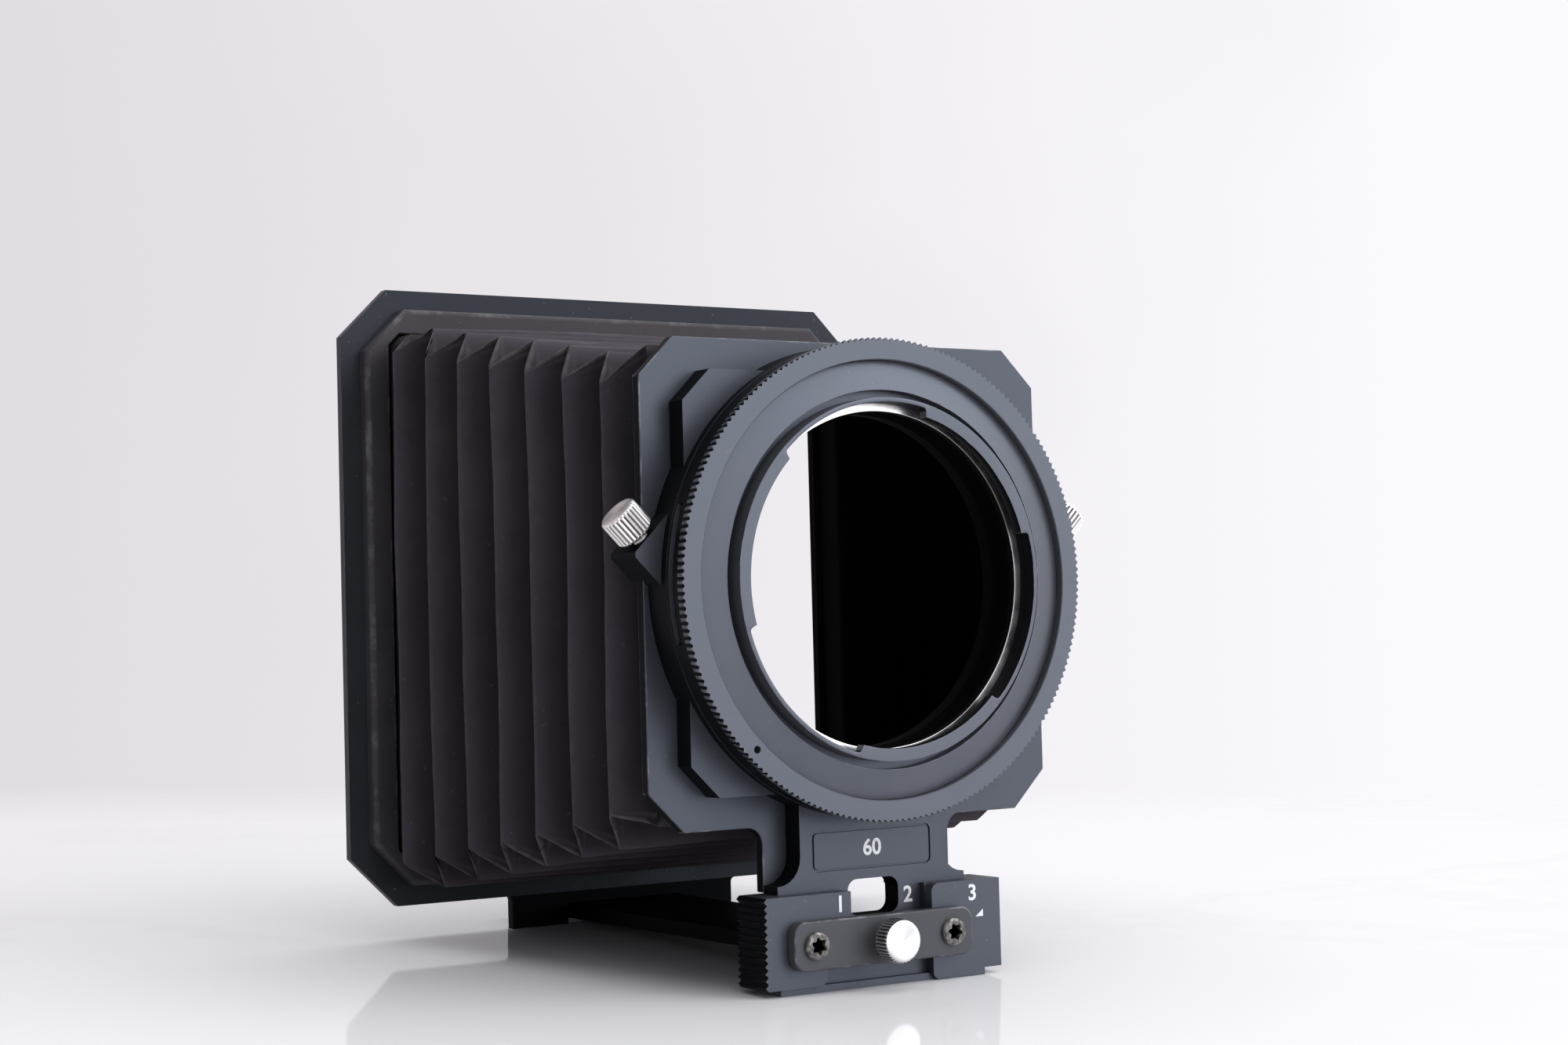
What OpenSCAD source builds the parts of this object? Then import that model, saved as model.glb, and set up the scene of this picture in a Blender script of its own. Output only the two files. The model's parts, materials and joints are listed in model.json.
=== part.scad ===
// Bellows lens hood on a rail: lens ring, rear standard, pleated bellows, front standard.
// Millimetres. +Y runs along the optical axis from the lens ring to the front mouth, +Z is up.
// The origin lies on the optical axis in the middle of the lens bore's wall.

/* [Lens ring] */
// Clear diameter that the front of a lens enters
lens_bore_d = 60; // [52:0.5:68]
// Radial width of the lens ring from the lens bore to the tips of the knurl
ring_wall = 13; // [12:0.1:15]
// Width of the knurled ring along the optical axis
ring_w = 6.2; // [5.6:0.1:8]
// Number of teeth around the rim
knurl_teeth = 210; // [120:2:240]
// Length of the toothed band along the axis
knurl_w = 2.6; // [2:0.1:3]
// Width of the flat rear face of the rim
rim_w = 3.7; // [3:0.1:4.2]
// Length of the arc slot on the ring's side, in degrees
slot_arc = 33; // [20:1:40]

/* [Rear standard] */
// How far the rear plate stands out past the ring's rim
plate_margin = 0.2; // [0:0.1:3]
// Corner chamfer of the rear plate
plate_chamfer = 7; // [5:0.5:9]
// Thickness of the rear plate
plate_t = 2.3; // [2:0.1:3.5]
// Thickness of the ring seat
seat_t = 4.5; // [4.4:0.1:6]
// Height of the round boss behind the lens ring
boss_h = 1.6; // [1:0.1:2.5]
// Width of the ring seat's neck
neck_w = 30.8; // [27:0.2:34]
// Width of the foot and of the plate's neck
foot_w = 40.6; // [38:0.2:44]
// Height of the optical axis above the top of the base
axis_h = 54.8; // [53:0.2:60]
// Width of the window in the foot
window_w = 11; // [8:0.5:13]

/* [Thumb screws] */
// Diameter of the thumb knobs
thumb_d = 7.2; // [6:0.1:7.6]
// Length of the thumb knobs
thumb_l = 5.3; // [4:0.1:7]
// Thread diameter of the thumb screws and of the lock screw
thread_d = 3; // [2.5:0.1:3.2]
// Height of the side lugs above the optical axis
lug_z = 4.95; // [3:0.05:7]

/* [Base] */
// Width of the base block
base_w = 51.2; // [49:0.2:56]
// Height of the base block
base_h = 16; // [15:0.2:20]
// Thickness of the base block's front wall
base_wall = 1.25; // [1:0.05:3]
// Depth of the base block behind the foot
base_back = 3.6; // [3.5:0.1:5]
// Radius of the rear pads' inner corners
pad_round = 1.5; // [0.5:0.1:2.5]
// Number of grip ribs on the left end
grip_ribs = 13; // [8:1:16]
// Thickness of the keel plate
keel_t = 1.25; // [1:0.05:2]
// Length of the keeper strap
strap_w = 38.4; // [36:0.2:40]
// Height of the keeper strap
strap_h = 8.6; // [8:0.1:10]
// Thickness of the keeper strap
strap_t = 2.3; // [1.8:0.1:3]
// Diameter of the lock knob
lock_d = 7.8; // [6:0.1:9]
// Length of the lock knob's knurled head
lock_l = 3.5; // [3:0.1:5]

/* [Rail] */
// Width of the rail
rail_w = 26; // [22:0.5:28]
// Thickness of the rail
rail_t = 2.8; // [2.4:0.1:3.2]
// Depth of the rail's top below the top of the base
rail_drop = 8.8; // [8.6:0.1:9.6]
// Travel of the front standard along the rail
travel = 48; // [20:1:50]

/* [Bellows] */
// Length of the bellows between the two standards
bellows_l = 83.4; // [72:0.2:110]
// Number of pleats
pleats = 7; // [5:1:12]
// Depth of a pleat
fold_depth = 5.8; // [4:0.1:7]
// Thickness of the bellows cloth
cloth_t = 0.9; // [0.6:0.1:1.2]
// Corner chamfer of the bellows
bellows_chamfer = 2; // [1:0.5:4]

/* [Front standard] */
// Width and height of the front frame
frame_size = 122; // [120:0.5:130]
// Corner chamfer of the front frame
frame_chamfer = 9.8; // [8:0.2:12]
// Thickness of the front frame
frame_t = 2; // [1.8:0.1:3]
// Width of the flange around the bellows retainer
flange_w = 4; // [3:0.1:5]
// Width of the bellows retainer's frame
retainer_w = 5.5; // [5:0.1:6.5]
// Height of the bellows retainer's frame
retainer_h = 3; // [2:0.1:3.5]
// Width of the tongue below the frame
tongue_w = 52; // [46:0.5:60]
// Length of the carriage on the rail
carriage_l = 12; // [10:0.5:16]
// Thickness of the carriage's side walls
carriage_wall = 7; // [5.5:0.5:9]

/* [Hidden] */
$fn = 96;
eps = 0.02;
cut = 1;

// Named clearances
fit = 0.05;
slide_fit = 0.05;
thrust_gap = 0.2;
glue_gap = 0.1;
screw_fit = 0.02;
hole_fit = 0.1;
tip_gap = 0.1;
plug_gap = 0.1;
stop_gap = 0.3;
knob_gap = 0.1;

// Levels along the optical axis
land_w = 2.8;
rim_y = land_w / 2 - ring_w - thrust_gap / 2 - boss_h - seat_t;
boss_y = rim_y + ring_w + thrust_gap;
seat_y = boss_y + boss_h;
plate_y = seat_y + seat_t;
plate_front = plate_y + plate_t;
frame_y = plate_front + bellows_l;
frame_front = frame_y + frame_t;
carriage_front = frame_front + carriage_l;

// Lens ring
lens_r = lens_bore_d / 2;
ring_r = lens_r + ring_wall;
knurl_depth = 0.7;
knurl_step = 0.1;
band_r = ring_r - knurl_depth - knurl_step;
rim_r = ring_r - rim_w;
groove_w = 1.1;
groove_depth = 2.2;
dish_top = 0.9;
dish_end = 0.45;
bayonet_rise = 1.25;
bayonet_y = rim_y - bayonet_rise;
shoulder_drop = 2.7;
shoulder_y = rim_y + shoulder_drop;
shoulder_t = 1.6;
shoulder_step = 0.2;
shoulder_r = lens_r + shoulder_step;
lug_t = 2;
lug_step = 0.4;
lug_tip_r = lens_r + lug_step;
notch_depth = 1;
notch_r = lug_tip_r + notch_depth;
bayonet_wall = 0.8;
bayonet_r = notch_r + bayonet_wall;
channel_w = 1.4;
channel_r = bayonet_r + channel_w;
chamber_step = 0.2;
chamber_r = notch_r + chamber_step;
spigot_wall = 6;
spigot_r = lens_r + spigot_wall;
bayonet_lugs = 3;
bayonet_turn = -15;
spigot_end = plate_y - thrust_gap / 2;
slot_w = 1.8;
slot_depth = 0.9;
slot_mid = 2.3;
slot_back = 1.15;
slot_y = rim_y + knurl_w + slot_back;
pin_hole_r = 0.7;
pin_hole_in = 1.4;
pin_hole_depth = 2;
pin_turn = 135;
knurl_y = rim_y + knurl_w;
ring_front = rim_y + ring_w;

// Rear standard
plate_r = ring_r + plate_margin;
seat_inset = 6;
seat_r = plate_r - seat_inset;
seat_corner = 1.4;
seat_chamfer = plate_chamfer - seat_corner;
disc_inset = 0.7;
disc_r = ring_r - disc_inset;
bore_step = 0.4;
plate_bore_r = spigot_r + bore_step;
neck_fillet = 5;
plate_fillet = 3;
foot_top = 1.4;
base_top = -axis_h;
tenon_step = 0.4;
tenon_t = seat_t - tenon_step;
rail_top = base_top - rail_drop;
tenon_bottom = rail_top + screw_fit;
window_rise = 1.6;
window_top = base_top + window_rise;
window_h = 6.4;
window_r = 2;
notch_rise = 1;
plate_gap = 0.1;
panel_w = 25.8;
panel_h = 7.2;
panel_round = 1.2;
panel_line = 0.45;
panel_depth = 0.3;
panel_rise = 7;
panel_z = base_top + panel_rise;

// Side lugs and thumb screws; the screws lean 45 degrees outwards
lug_reach = 4.45;
lug_flat = 0.45;
lug_back = 1.7;
lug_front = plate_front + lug_back;
lug_apex = plate_r + lug_reach;
lug_root = (spigot_r + disc_r) / 2;
lug_face = (lug_apex + lug_z) / sqrt(2);
screw_set = 4;
screw_side = (lug_apex - lug_z) / sqrt(2) - screw_set;
screw_y = seat_y + seat_t / 2;
thread_r = thread_d / 2;
thread_bore = thread_r + fit;
groove_side = 0.3;
groove_half = thread_r + groove_side;
groove_cut = 1.4;
plug_groove_r = spigot_r - groove_cut;
plug_reach = sqrt(pow(plug_groove_r, 2) - pow(screw_side, 2));
plug_l = 7;
plug_tail = 4;
plug_end = plug_reach + plug_l;
thumb_gap = 1.2;
thumb_teeth = 30;
thumb_knurl = 0.25;
head_end = 0.4;

// Base
base_r = base_w / 2;
base_front = seat_y + tenon_t + fit + base_wall;
base_rear = seat_y - base_back;
base_d = base_front - base_rear;
base_bottom = base_top - base_h;
pad_left = -7.3;
pad_left_low = -12.7;
pad_right = 10.3;
recess_depth = 2.2;
front_window_left = -12;
front_window_right = 17;
rib_depth = 0.7;
strap_x = -1.65;
strap_drop = 8.6;
strap_z = base_top - strap_drop;
strap_rear = base_rear - strap_t;
strap_round = 2.4;
strap_screw_inset = 4.5;
strap_screw_pitch = strap_w - 2 * strap_screw_inset;
small_r = 1.2;
small_head_r = 2.5;
small_head_h = 0.9;
small_floor = 0.6;
small_depth = base_back - small_floor;
head_bevel = 0.5;
head_edge = 0.4;
lobe_r = 1.5;
lobe_depth = 1.2;
keel_inset = 3.8;
keel_w = base_w - 2 * keel_inset;
keel_back = 1;
keel_rear = base_rear + keel_back;
keel_step = 0.4;
keel_front = base_front - keel_step;
keel_bottom = base_bottom - keel_t;
keel_screw_inset = 5;
keel_screw_x = rail_w / 2 - keel_screw_inset;
keel_screw_bite = 2;
rail_back = 0.6;
rail_rear = seat_y + rail_back;
keel_screw_y = (rail_rear + base_front) / 2;
keel_head_r = 2.3;
lock_shank_gap = 1.9;
lock_neck_r = 2.2;
lock_teeth = 36;
lock_knurl = 0.3;
lock_bore_depth = 2.4;
lock_rear = strap_rear - lock_shank_gap - lock_l;
shoe_gap = 0.1;
shoe_back = 1;
shoe_t = base_back - shoe_back;
shoe_w = 10.4;
shoe_top = window_top - window_h - shoe_gap;
shoe_drop = 3.2;
shoe_bottom = strap_z - shoe_drop;
shoe_y = seat_y - shoe_t - fit / 2;

// Rail and carriage
rail_r = rail_w / 2;
rail_bottom = rail_top - rail_t;
stop_head_r = 2;
stop_head_h = 1.2;
stop_y = carriage_front + stop_gap + stop_head_r;
stop_inset = 4;
stop_x = rail_r - stop_inset;
rail_end = 1.5;
rail_front = stop_y + stop_head_r + rail_end;
carriage_w = rail_w + 2 * carriage_wall;
carriage_lip = 1.15;
carriage_head_r = 1.9;
carriage_lobe_r = 1.2;
carriage_lobe_depth = 0.5;
carriage_roof = 3.2;
lip_reach = 4;
tongue_bottom = rail_bottom - slide_fit - carriage_lip;
tongue_notch = 0.3;
tongue_fillet = 1;
carriage_screw_x = rail_r + carriage_wall / 2;
carriage_screw_z = rail_top - rail_t / 2;
tap_end = 0.4;
pad_t = 1.3;
pad_w = 12;
pad_margin = 2.5;
pad_l = carriage_l - 2 * pad_margin;
pad_y = (frame_front + carriage_front - pad_l) / 2;

// Frames that hold the bellows
frame_r = frame_size / 2;
front_out = frame_r - flange_w;
front_in = front_out - retainer_w;
mouth_step = 1.5;
mouth_r = front_in - mouth_step;
mouth_corner = 3;
rear_margin = 0.8;
rear_out = plate_r - rear_margin;
rear_w = 4.3;
rear_in = rear_out - rear_w;
rear_h = 1.5;
rear_corner = 0.5;
rear_chamfer = plate_chamfer - rear_corner;
front_corner = 1.2;
front_chamfer = frame_chamfer - front_corner;
bead = 1.2;
hold_r = 0.9;
hold_head_r = 1.7;
hold_head_h = 0.9;
hold_depth = 1.5;
seat_screw_r = 1;
seat_screw_head_r = 1.9;
seat_screw_depth = 3;
seat_screw_inset = 5.6;
seat_screw_at = seat_r - seat_screw_inset;

// Bellows: collars at both ends, pleats between, two levels to a pleat
rear_half = rear_in - glue_gap;
front_half = front_in - glue_gap;
folded = (bellows_l - travel) / bellows_l;
fold_gap = 0.2;
rear_collar = (rear_h + fold_gap) / folded;
front_collar = (retainer_h + fold_gap) / folded;
pleat_l = (bellows_l - rear_collar - front_collar) / pleats;
last_level = 2 * pleats + 2;

// Rectangle of half width a and half height b with cut corners
function cut_rect(a, b, c) = [
  [a, b - c], [a - c, b], [c - a, b], [-a, b - c],
  [-a, c - b], [c - a, -b], [a - c, -b], [a, c - b]
];

// Square outline with cut corners
function cut_square(h, c) = cut_rect(h, h, c);

// Toothed outline
function toothed(n, outer, inner) = [
  for (i = [0 : 2 * n - 1])
    let (r = i % 2 == 0 ? outer : inner, a = 180 * i / n) [r * cos(a), r * sin(a)]
];

// Flat outline in X and Z, given thickness from y0 to y1
module slab(y0, y1) {
  translate([0, y1, 0]) rotate([90, 0, 0]) linear_extrude(y1 - y0) children();
}

// Profile of radius and Y, turned about the optical axis
module turned(points) {
  rotate([-90, 0, 0]) rotate_extrude($fn = 180) polygon(points);
}

// Round bar along Y
module bar_y(r, y0, y1, x = 0, z = 0) {
  translate([x, y1, z]) rotate([90, 0, 0]) cylinder(r = r, h = y1 - y0);
}

// Cone along Y
module cone_y(r0, r1, y0, y1, x = 0, z = 0) {
  translate([x, y0, z]) rotate([-90, 0, 0]) cylinder(r1 = r0, r2 = r1, h = y1 - y0);
}

// Box between two corners
module box(low, high) {
  translate(low) cube(high - low);
}

// Rectangle with round corners
module round_rect(w, h, r) {
  square([w, h - 2 * r], center = true);
  square([w - 2 * r, h], center = true);
  for (x = [-1, 1], y = [-1, 1]) translate([x * (w / 2 - r), y * (h / 2 - r)]) circle(r);
}

// Inside corner filled with a radius; sx and sy give the open side
module fillet(r, sx, sy) {
  difference() {
    translate([sx * r / 2, sy * r / 2]) square(r, center = true);
    translate([sx * r, sy * r]) circle(r);
  }
}

// Sliver that rounds off an outside corner; sx and sy point into the solid
module round_off(r, sx, sy) {
  difference() {
    translate([sx * (r - cut) / 2, sy * (r - cut) / 2]) square(r + cut, center = true);
    translate([sx * r, sy * r]) circle(r);
  }
}

// Four places around the centre
module corners(x, z) {
  for (i = [-1, 1], j = [-1, 1]) translate([i * x, 0, j * z]) children();
}

// Six-lobe recess
module six_lobe(r) {
  circle(r * 0.74);
  for (a = [0 : 60 : 300]) rotate(a) translate([r * 0.76, 0]) circle(r * 0.24);
}

// Knurled head along Z: plain ends, toothed between
module knurled_head(r, length, teeth, depth) {
  cylinder(r = r - depth - knurl_step, h = length);
  translate([0, 0, head_end]) linear_extrude(length - 2 * head_end) polygon(toothed(teeth, r, r - depth));
}

// Frame of a thumb screw: +Z runs outwards along the screw, from the foot of the line
module thumb_axis(side) {
  mirror([side > 0 ? 1 : 0, 0, 0])
    translate([-screw_side / sqrt(2), screw_y, -screw_side / sqrt(2)])
      rotate([0, -45, 0]) children();
}

// Turned parts of the lens side

module grip_ring() {
  color([0.16, 0.16, 0.17]) difference() {
    union() {
      slab(rim_y, knurl_y) polygon(toothed(knurl_teeth, ring_r, ring_r - knurl_depth));
      bar_y(band_r, knurl_y - cut, ring_front);
    }
    bar_y(rim_r, rim_y - cut, ring_front + cut);
    rotate([0, 180 + slot_mid - slot_arc / 2, 0]) side_slot();
    rotate([0, pin_turn, 0]) bar_y(pin_hole_r, rim_y - cut, rim_y + pin_hole_depth, rim_r + pin_hole_in);
  }
}

module lens_ring() {
  flange_r = rim_r - screw_fit;
  hub_r = rim_r - groove_w;
  hub_y = rim_y + groove_depth;
  color([0.17, 0.17, 0.18]) turned([
    [flange_r, hub_y], [flange_r, ring_front], [spigot_r, ring_front], [spigot_r, screw_y - groove_half],
    [plug_groove_r, screw_y - groove_half], [plug_groove_r, screw_y + groove_half],
    [spigot_r, screw_y + groove_half], [spigot_r, spigot_end],
    [lens_r, spigot_end], [lens_r, spigot_end - land_w], [chamber_r, spigot_end - land_w],
    [chamber_r, shoulder_y + shoulder_t], [shoulder_r, shoulder_y + shoulder_t], [shoulder_r, shoulder_y],
    [channel_r, shoulder_y], [channel_r, rim_y + dish_end], [hub_r, rim_y + dish_top], [hub_r, hub_y]
  ]);
}

// Arc slot cut into the side of the ring, starting on +X
module side_slot() {
  rotate([-90, 0, 0]) translate([0, 0, slot_y]) rotate_extrude(angle = slot_arc, $fn = 180)
    translate([band_r - slot_depth, 0]) square([slot_depth + cut, slot_w]);
}

module bayonet_ring() {
  color([0.3, 0.3, 0.31]) difference() {
    bar_y(bayonet_r, bayonet_y, shoulder_y);
    bar_y(notch_r, bayonet_y + lug_t, shoulder_y + cut);
    bar_y(lug_tip_r, bayonet_y - cut, shoulder_y);
    for (i = [0 : bayonet_lugs - 1]) rotate([0, bayonet_turn + i * 360 / bayonet_lugs, 0])
      rotate([-90, 0, 0]) translate([0, 0, bayonet_y - cut])
        rotate_extrude(angle = 180 / bayonet_lugs, $fn = 180)
          translate([lug_tip_r - cut, 0]) square([notch_r - lug_tip_r + cut, lug_t + 2 * cut]);
  }
}

// Rear standard

// Wedge of the left side lug
module lug_wedge() {
  polygon([
    [-lug_apex + lug_flat, lug_z + lug_flat], [-lug_apex + lug_flat, lug_z - lug_flat],
    [-lug_root, lug_z - lug_apex + lug_root], [-lug_root, lug_z + lug_apex - lug_root]
  ]);
}

module foot_outline() {
  translate([-neck_w / 2, base_top]) square([neck_w, axis_h - seat_r + neck_fillet]);
  translate([-foot_w / 2, base_top]) square([foot_w, foot_top]);
  for (s = [-1, 1]) translate([s * neck_w / 2, base_top + foot_top])
    fillet(min(neck_fillet, (foot_w - neck_w) / 2), s, 1);
}

module ring_seat() {
  color([0.13, 0.13, 0.15]) difference() {
    union() {
      slab(seat_y, plate_y) polygon(cut_square(seat_r, seat_chamfer));
      bar_y(disc_r, boss_y, plate_y);
      slab(seat_y, plate_y) foot_outline();
      box([-foot_w / 2, seat_y, tenon_bottom], [foot_w / 2, seat_y + tenon_t, base_top + eps]);
      for (s = [0, 1]) mirror([s, 0, 0]) {
        slab(seat_y, plate_y) lug_wedge();
        intersection() {
          slab(plate_y - eps, lug_front) lug_wedge();
          box([-lug_apex - cut, plate_y - cut, -ring_r], [-plate_r - glue_gap, lug_front + cut, ring_r]);
        }
      }
    }
    bar_y(spigot_r + fit, boss_y - cut, plate_y + cut);
    for (s = [-1, 1]) thumb_axis(s) cylinder(r = thread_bore, h = lug_face + cut);
    translate([0, 0, window_top - window_h / 2])
      slab(seat_y - cut, plate_y + cut) round_rect(window_w, window_h, window_r);
    translate([0, 0, panel_z]) slab(seat_y - cut, seat_y + panel_depth) difference() {
      round_rect(panel_w, panel_h, panel_round);
      round_rect(panel_w - 2 * panel_line, panel_h - 2 * panel_line, panel_round - panel_line);
    }
    corners(seat_screw_at, seat_screw_at)
      bar_y(seat_screw_r, plate_y - seat_screw_depth - tip_gap, plate_y + cut);
  }
}

module rear_plate() {
  plate_neck_bottom = base_top + plate_gap;
  color([0.15, 0.15, 0.17]) difference() {
    slab(plate_y, plate_front) difference() {
      union() {
        polygon(cut_square(plate_r, plate_chamfer));
        translate([-foot_w / 2, plate_neck_bottom]) square([foot_w, axis_h - plate_r + plate_fillet]);
        for (s = [-1, 1]) translate([s * foot_w / 2, -plate_r]) fillet(plate_fillet, s, -1);
      }
      circle(plate_bore_r, $fn = 180);
      translate([-window_w, plate_neck_bottom - cut])
        square([2 * window_w, window_top - plate_neck_bottom + notch_rise + cut]);
    }
    corners(seat_screw_at, seat_screw_at) union() {
      bar_y(seat_screw_r + hole_fit, plate_y - cut, plate_front + cut);
      cone_y(seat_screw_r, seat_screw_head_r + cut,
        plate_front - seat_screw_head_r + seat_screw_r, plate_front + cut);
    }
    rear_holds() bar_y(hold_r, plate_front - hold_depth - tip_gap, plate_front + cut);
  }
}

module seat_screws() {
  color([0.25, 0.25, 0.26]) corners(seat_screw_at, seat_screw_at) union() {
    bar_y(seat_screw_r - screw_fit, plate_y - seat_screw_depth, plate_front - eps);
    cone_y(seat_screw_r - screw_fit, seat_screw_head_r - screw_fit,
      plate_front - seat_screw_head_r + seat_screw_r, plate_front);
  }
}

// Places of the small screws in the rear retainer
module rear_holds() {
  at = (rear_out + rear_in) / 2;
  for (s = [-1, 1]) {
    translate([s * at, 0, 0]) children();
    translate([0, 0, s * at]) children();
  }
}

// Countersunk hole that goes through a frame whose face is at y
module hold_sink(y, depth) {
  bar_y(hold_r + hole_fit, y - depth - cut, y + cut);
  cone_y(hold_r, hold_head_r + cut, y - hold_head_h, y + hold_head_h * cut / (hold_head_r - hold_r));
}

module hold_screw(y, length) {
  bar_y(hold_r - screw_fit, y - length, y - eps);
  cone_y(hold_r - screw_fit, hold_head_r - screw_fit, y - hold_head_h, y);
}

module rear_retainer() {
  color([0.14, 0.14, 0.15]) difference() {
    slab(plate_front, plate_front + rear_h) difference() {
      polygon(cut_square(rear_out, rear_chamfer));
      polygon(cut_square(rear_in, bellows_chamfer));
    }
    rear_holds() hold_sink(plate_front + rear_h, rear_h);
  }
}

module rear_retainer_screws() {
  color([0.3, 0.3, 0.31]) rear_holds() hold_screw(plate_front + rear_h, rear_h + hold_depth);
}

// Bellows

// Levels along Y: where the sides stand out in a ridge, the top and the bottom lie in a valley, and the
// other way round, so that the corners run in a zigzag
function level_y(i) =
  i == 0 ? 0 : i == last_level ? bellows_l : rear_collar + (i - 1) * pleat_l / 2;
function valley_half(i) =
  let (t = (level_y(i) - rear_collar) / (pleats * pleat_l))
  rear_half + (front_half - rear_half) * max(0, min(1, t));
function side_ridge(i) = i > 0 && i < last_level && i % 2 == 0;
function top_ridge(i) = i > 1 && i < last_level - 1 && i % 2 == 1;
function side_half(i) = valley_half(i) + (side_ridge(i) ? fold_depth : 0);
function top_half(i) = valley_half(i) + (top_ridge(i) ? fold_depth : 0);

// Ring of corner points at a level, moved inwards by the wall
function level_ring(i, wall) = [
  for (p = cut_rect(side_half(i) - wall, top_half(i) - wall, bellows_chamfer))
    [p[0], plate_front + level_y(i), p[1]]
];

module bellows() {
  points = [
    for (i = [0 : last_level]) each level_ring(i, 0),
    for (i = [0 : last_level]) each level_ring(i, cloth_t)
  ];
  inner = 8 * (last_level + 1);
  faces = [
    for (i = [0 : last_level - 1], k = [0 : 7]) let (a = 8 * i + k, b = 8 * i + (k + 1) % 8) each [
      [a, b, b + 8], [a, b + 8, a + 8],
      [inner + a, inner + b + 8, inner + b], [inner + a, inner + a + 8, inner + b + 8]
    ],
    for (k = [0 : 7]) let (a = k, b = (k + 1) % 8, c = 8 * last_level + a, d = 8 * last_level + b) each [
      [a, inner + a, inner + b], [a, inner + b, b],
      [c, inner + d, inner + c], [c, d, inner + d]
    ]
  ];
  color([0.17, 0.15, 0.14]) polyhedron(points, faces);
}

// Thumb screws; side is -1 on the left and 1 on the right

module thumb_knob(side) {
  z0 = lug_face + thumb_gap;
  color([0.78, 0.78, 0.78]) thumb_axis(side) difference() {
    translate([0, 0, z0]) knurled_head(thumb_d / 2, thumb_l, thumb_teeth, thumb_knurl);
    translate([0, 0, z0 - cut]) cylinder(r = thread_r, h = thumb_l / 2 + cut);
  }
}

module thumb_shank(side) {
  z0 = plug_end + plug_gap;
  z1 = lug_face + thumb_gap + thumb_l / 2 - screw_fit;
  color([0.6, 0.6, 0.6]) thumb_axis(side) translate([0, 0, z0])
    cylinder(r = thread_r - screw_fit / 2, h = z1 - z0);
}

module clamp_plug(side) {
  color([0.8, 0.68, 0.4]) difference() {
    thumb_axis(side) translate([0, 0, plug_reach - plug_tail]) cylinder(r = thread_r, h = plug_l + plug_tail);
    bar_y(plug_groove_r + fit, screw_y - thread_d, screw_y + thread_d);
  }
}

module left_thumb_knob() thumb_knob(-1);
module left_thumb_shank() thumb_shank(-1);
module left_clamp_plug() clamp_plug(-1);
module right_thumb_knob() thumb_knob(1);
module right_thumb_shank() thumb_shank(1);
module right_clamp_plug() clamp_plug(1);

// Base

module base_block() {
  pocket_front = seat_y + tenon_t + fit;
  color([0.12, 0.12, 0.14]) difference() {
    union() {
      box([-base_r, base_rear, base_bottom], [base_r, base_front, base_top]);
      // Lip of the right pad over the edge of the keel
      box([pad_right, base_rear, keel_bottom], [keel_w / 2, keel_rear - fit, base_bottom + eps]);
    }
    // Pocket of the foot, open at the top
    box([-foot_w / 2 - fit, seat_y - fit, rail_top], [foot_w / 2 + fit, pocket_front, base_top + cut]);
    // Opening between the rear pads, recess below it and seat of the shoe
    box([pad_left, base_rear - cut, rail_top], [pad_right, seat_y, base_top + cut]);
    box([pad_left_low, base_rear - cut, base_bottom - cut], [pad_right, base_rear + recess_depth, strap_z]);
    box([strap_x - shoe_w / 2 - shoe_gap, base_rear - eps, shoe_bottom - shoe_gap],
      [strap_x + shoe_w / 2 + shoe_gap, seat_y, strap_z]);
    // Round inner corners of the pads
    slab(base_rear - cut, base_rear + recess_depth) {
      translate([pad_right, base_top]) round_off(pad_round, 1, -1);
      translate([pad_right, keel_bottom]) round_off(pad_round, 1, 1);
      translate([pad_left_low, base_bottom]) round_off(pad_round, -1, 1);
    }
    // Window in the front wall
    box([front_window_left, seat_y, rail_top], [front_window_right, base_front + cut, base_top + cut]);
    // Seat of the rail
    box([-rail_r - fit, rail_rear - fit, rail_bottom - screw_fit],
      [rail_r + fit, base_front + cut, rail_top + eps]);
    strap_places() bar_y(small_r, base_rear - cut, base_rear + small_depth + tip_gap);
    keel_places() translate([0, 0, base_bottom - cut])
      cylinder(r = small_r + hole_fit, h = rail_bottom - base_bottom + cut);
    // Grip ribs
    for (i = [0 : grip_ribs])
      translate([-base_r, (base_rear + base_front) / 2, base_bottom + i * base_h / grip_ribs])
        rotate([0, 45, 0]) cube([rib_depth * sqrt(2), base_d + 2 * cut, rib_depth * sqrt(2)], center = true);
  }
}

module strap_places() {
  for (s = [-1, 1]) translate([strap_x + s * strap_screw_pitch / 2, 0, strap_z]) children();
}

module keel_places() {
  for (s = [-1, 1]) translate([s * keel_screw_x, keel_screw_y, 0]) children();
}

module keel_plate() {
  color([0.13, 0.13, 0.14]) difference() {
    box([-keel_w / 2, keel_rear, keel_bottom], [keel_w / 2, keel_front, base_bottom]);
    keel_places() union() {
      translate([0, 0, keel_bottom - cut]) cylinder(r = small_r + hole_fit, h = keel_t + 2 * cut);
      translate([0, 0, keel_bottom - cut])
        cylinder(r1 = keel_head_r + cut, r2 = small_r, h = keel_head_r - small_r + cut);
    }
  }
}

module keel_screws() {
  top = rail_bottom + keel_screw_bite;
  color([0.3, 0.3, 0.31]) keel_places() union() {
    translate([0, 0, keel_bottom + eps]) cylinder(r = small_r - screw_fit, h = top - keel_bottom - eps);
    translate([0, 0, keel_bottom])
      cylinder(r1 = keel_head_r - screw_fit, r2 = small_r - screw_fit, h = keel_head_r - small_r);
  }
}

module keeper_strap() {
  color([0.14, 0.14, 0.16]) difference() {
    translate([strap_x, 0, strap_z]) slab(strap_rear, base_rear) round_rect(strap_w, strap_h, strap_round);
    strap_places() bar_y(small_r + hole_fit, strap_rear - cut, base_rear + cut);
    bar_y(thread_bore, strap_rear - cut, base_rear + cut, strap_x, strap_z);
  }
}

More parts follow.
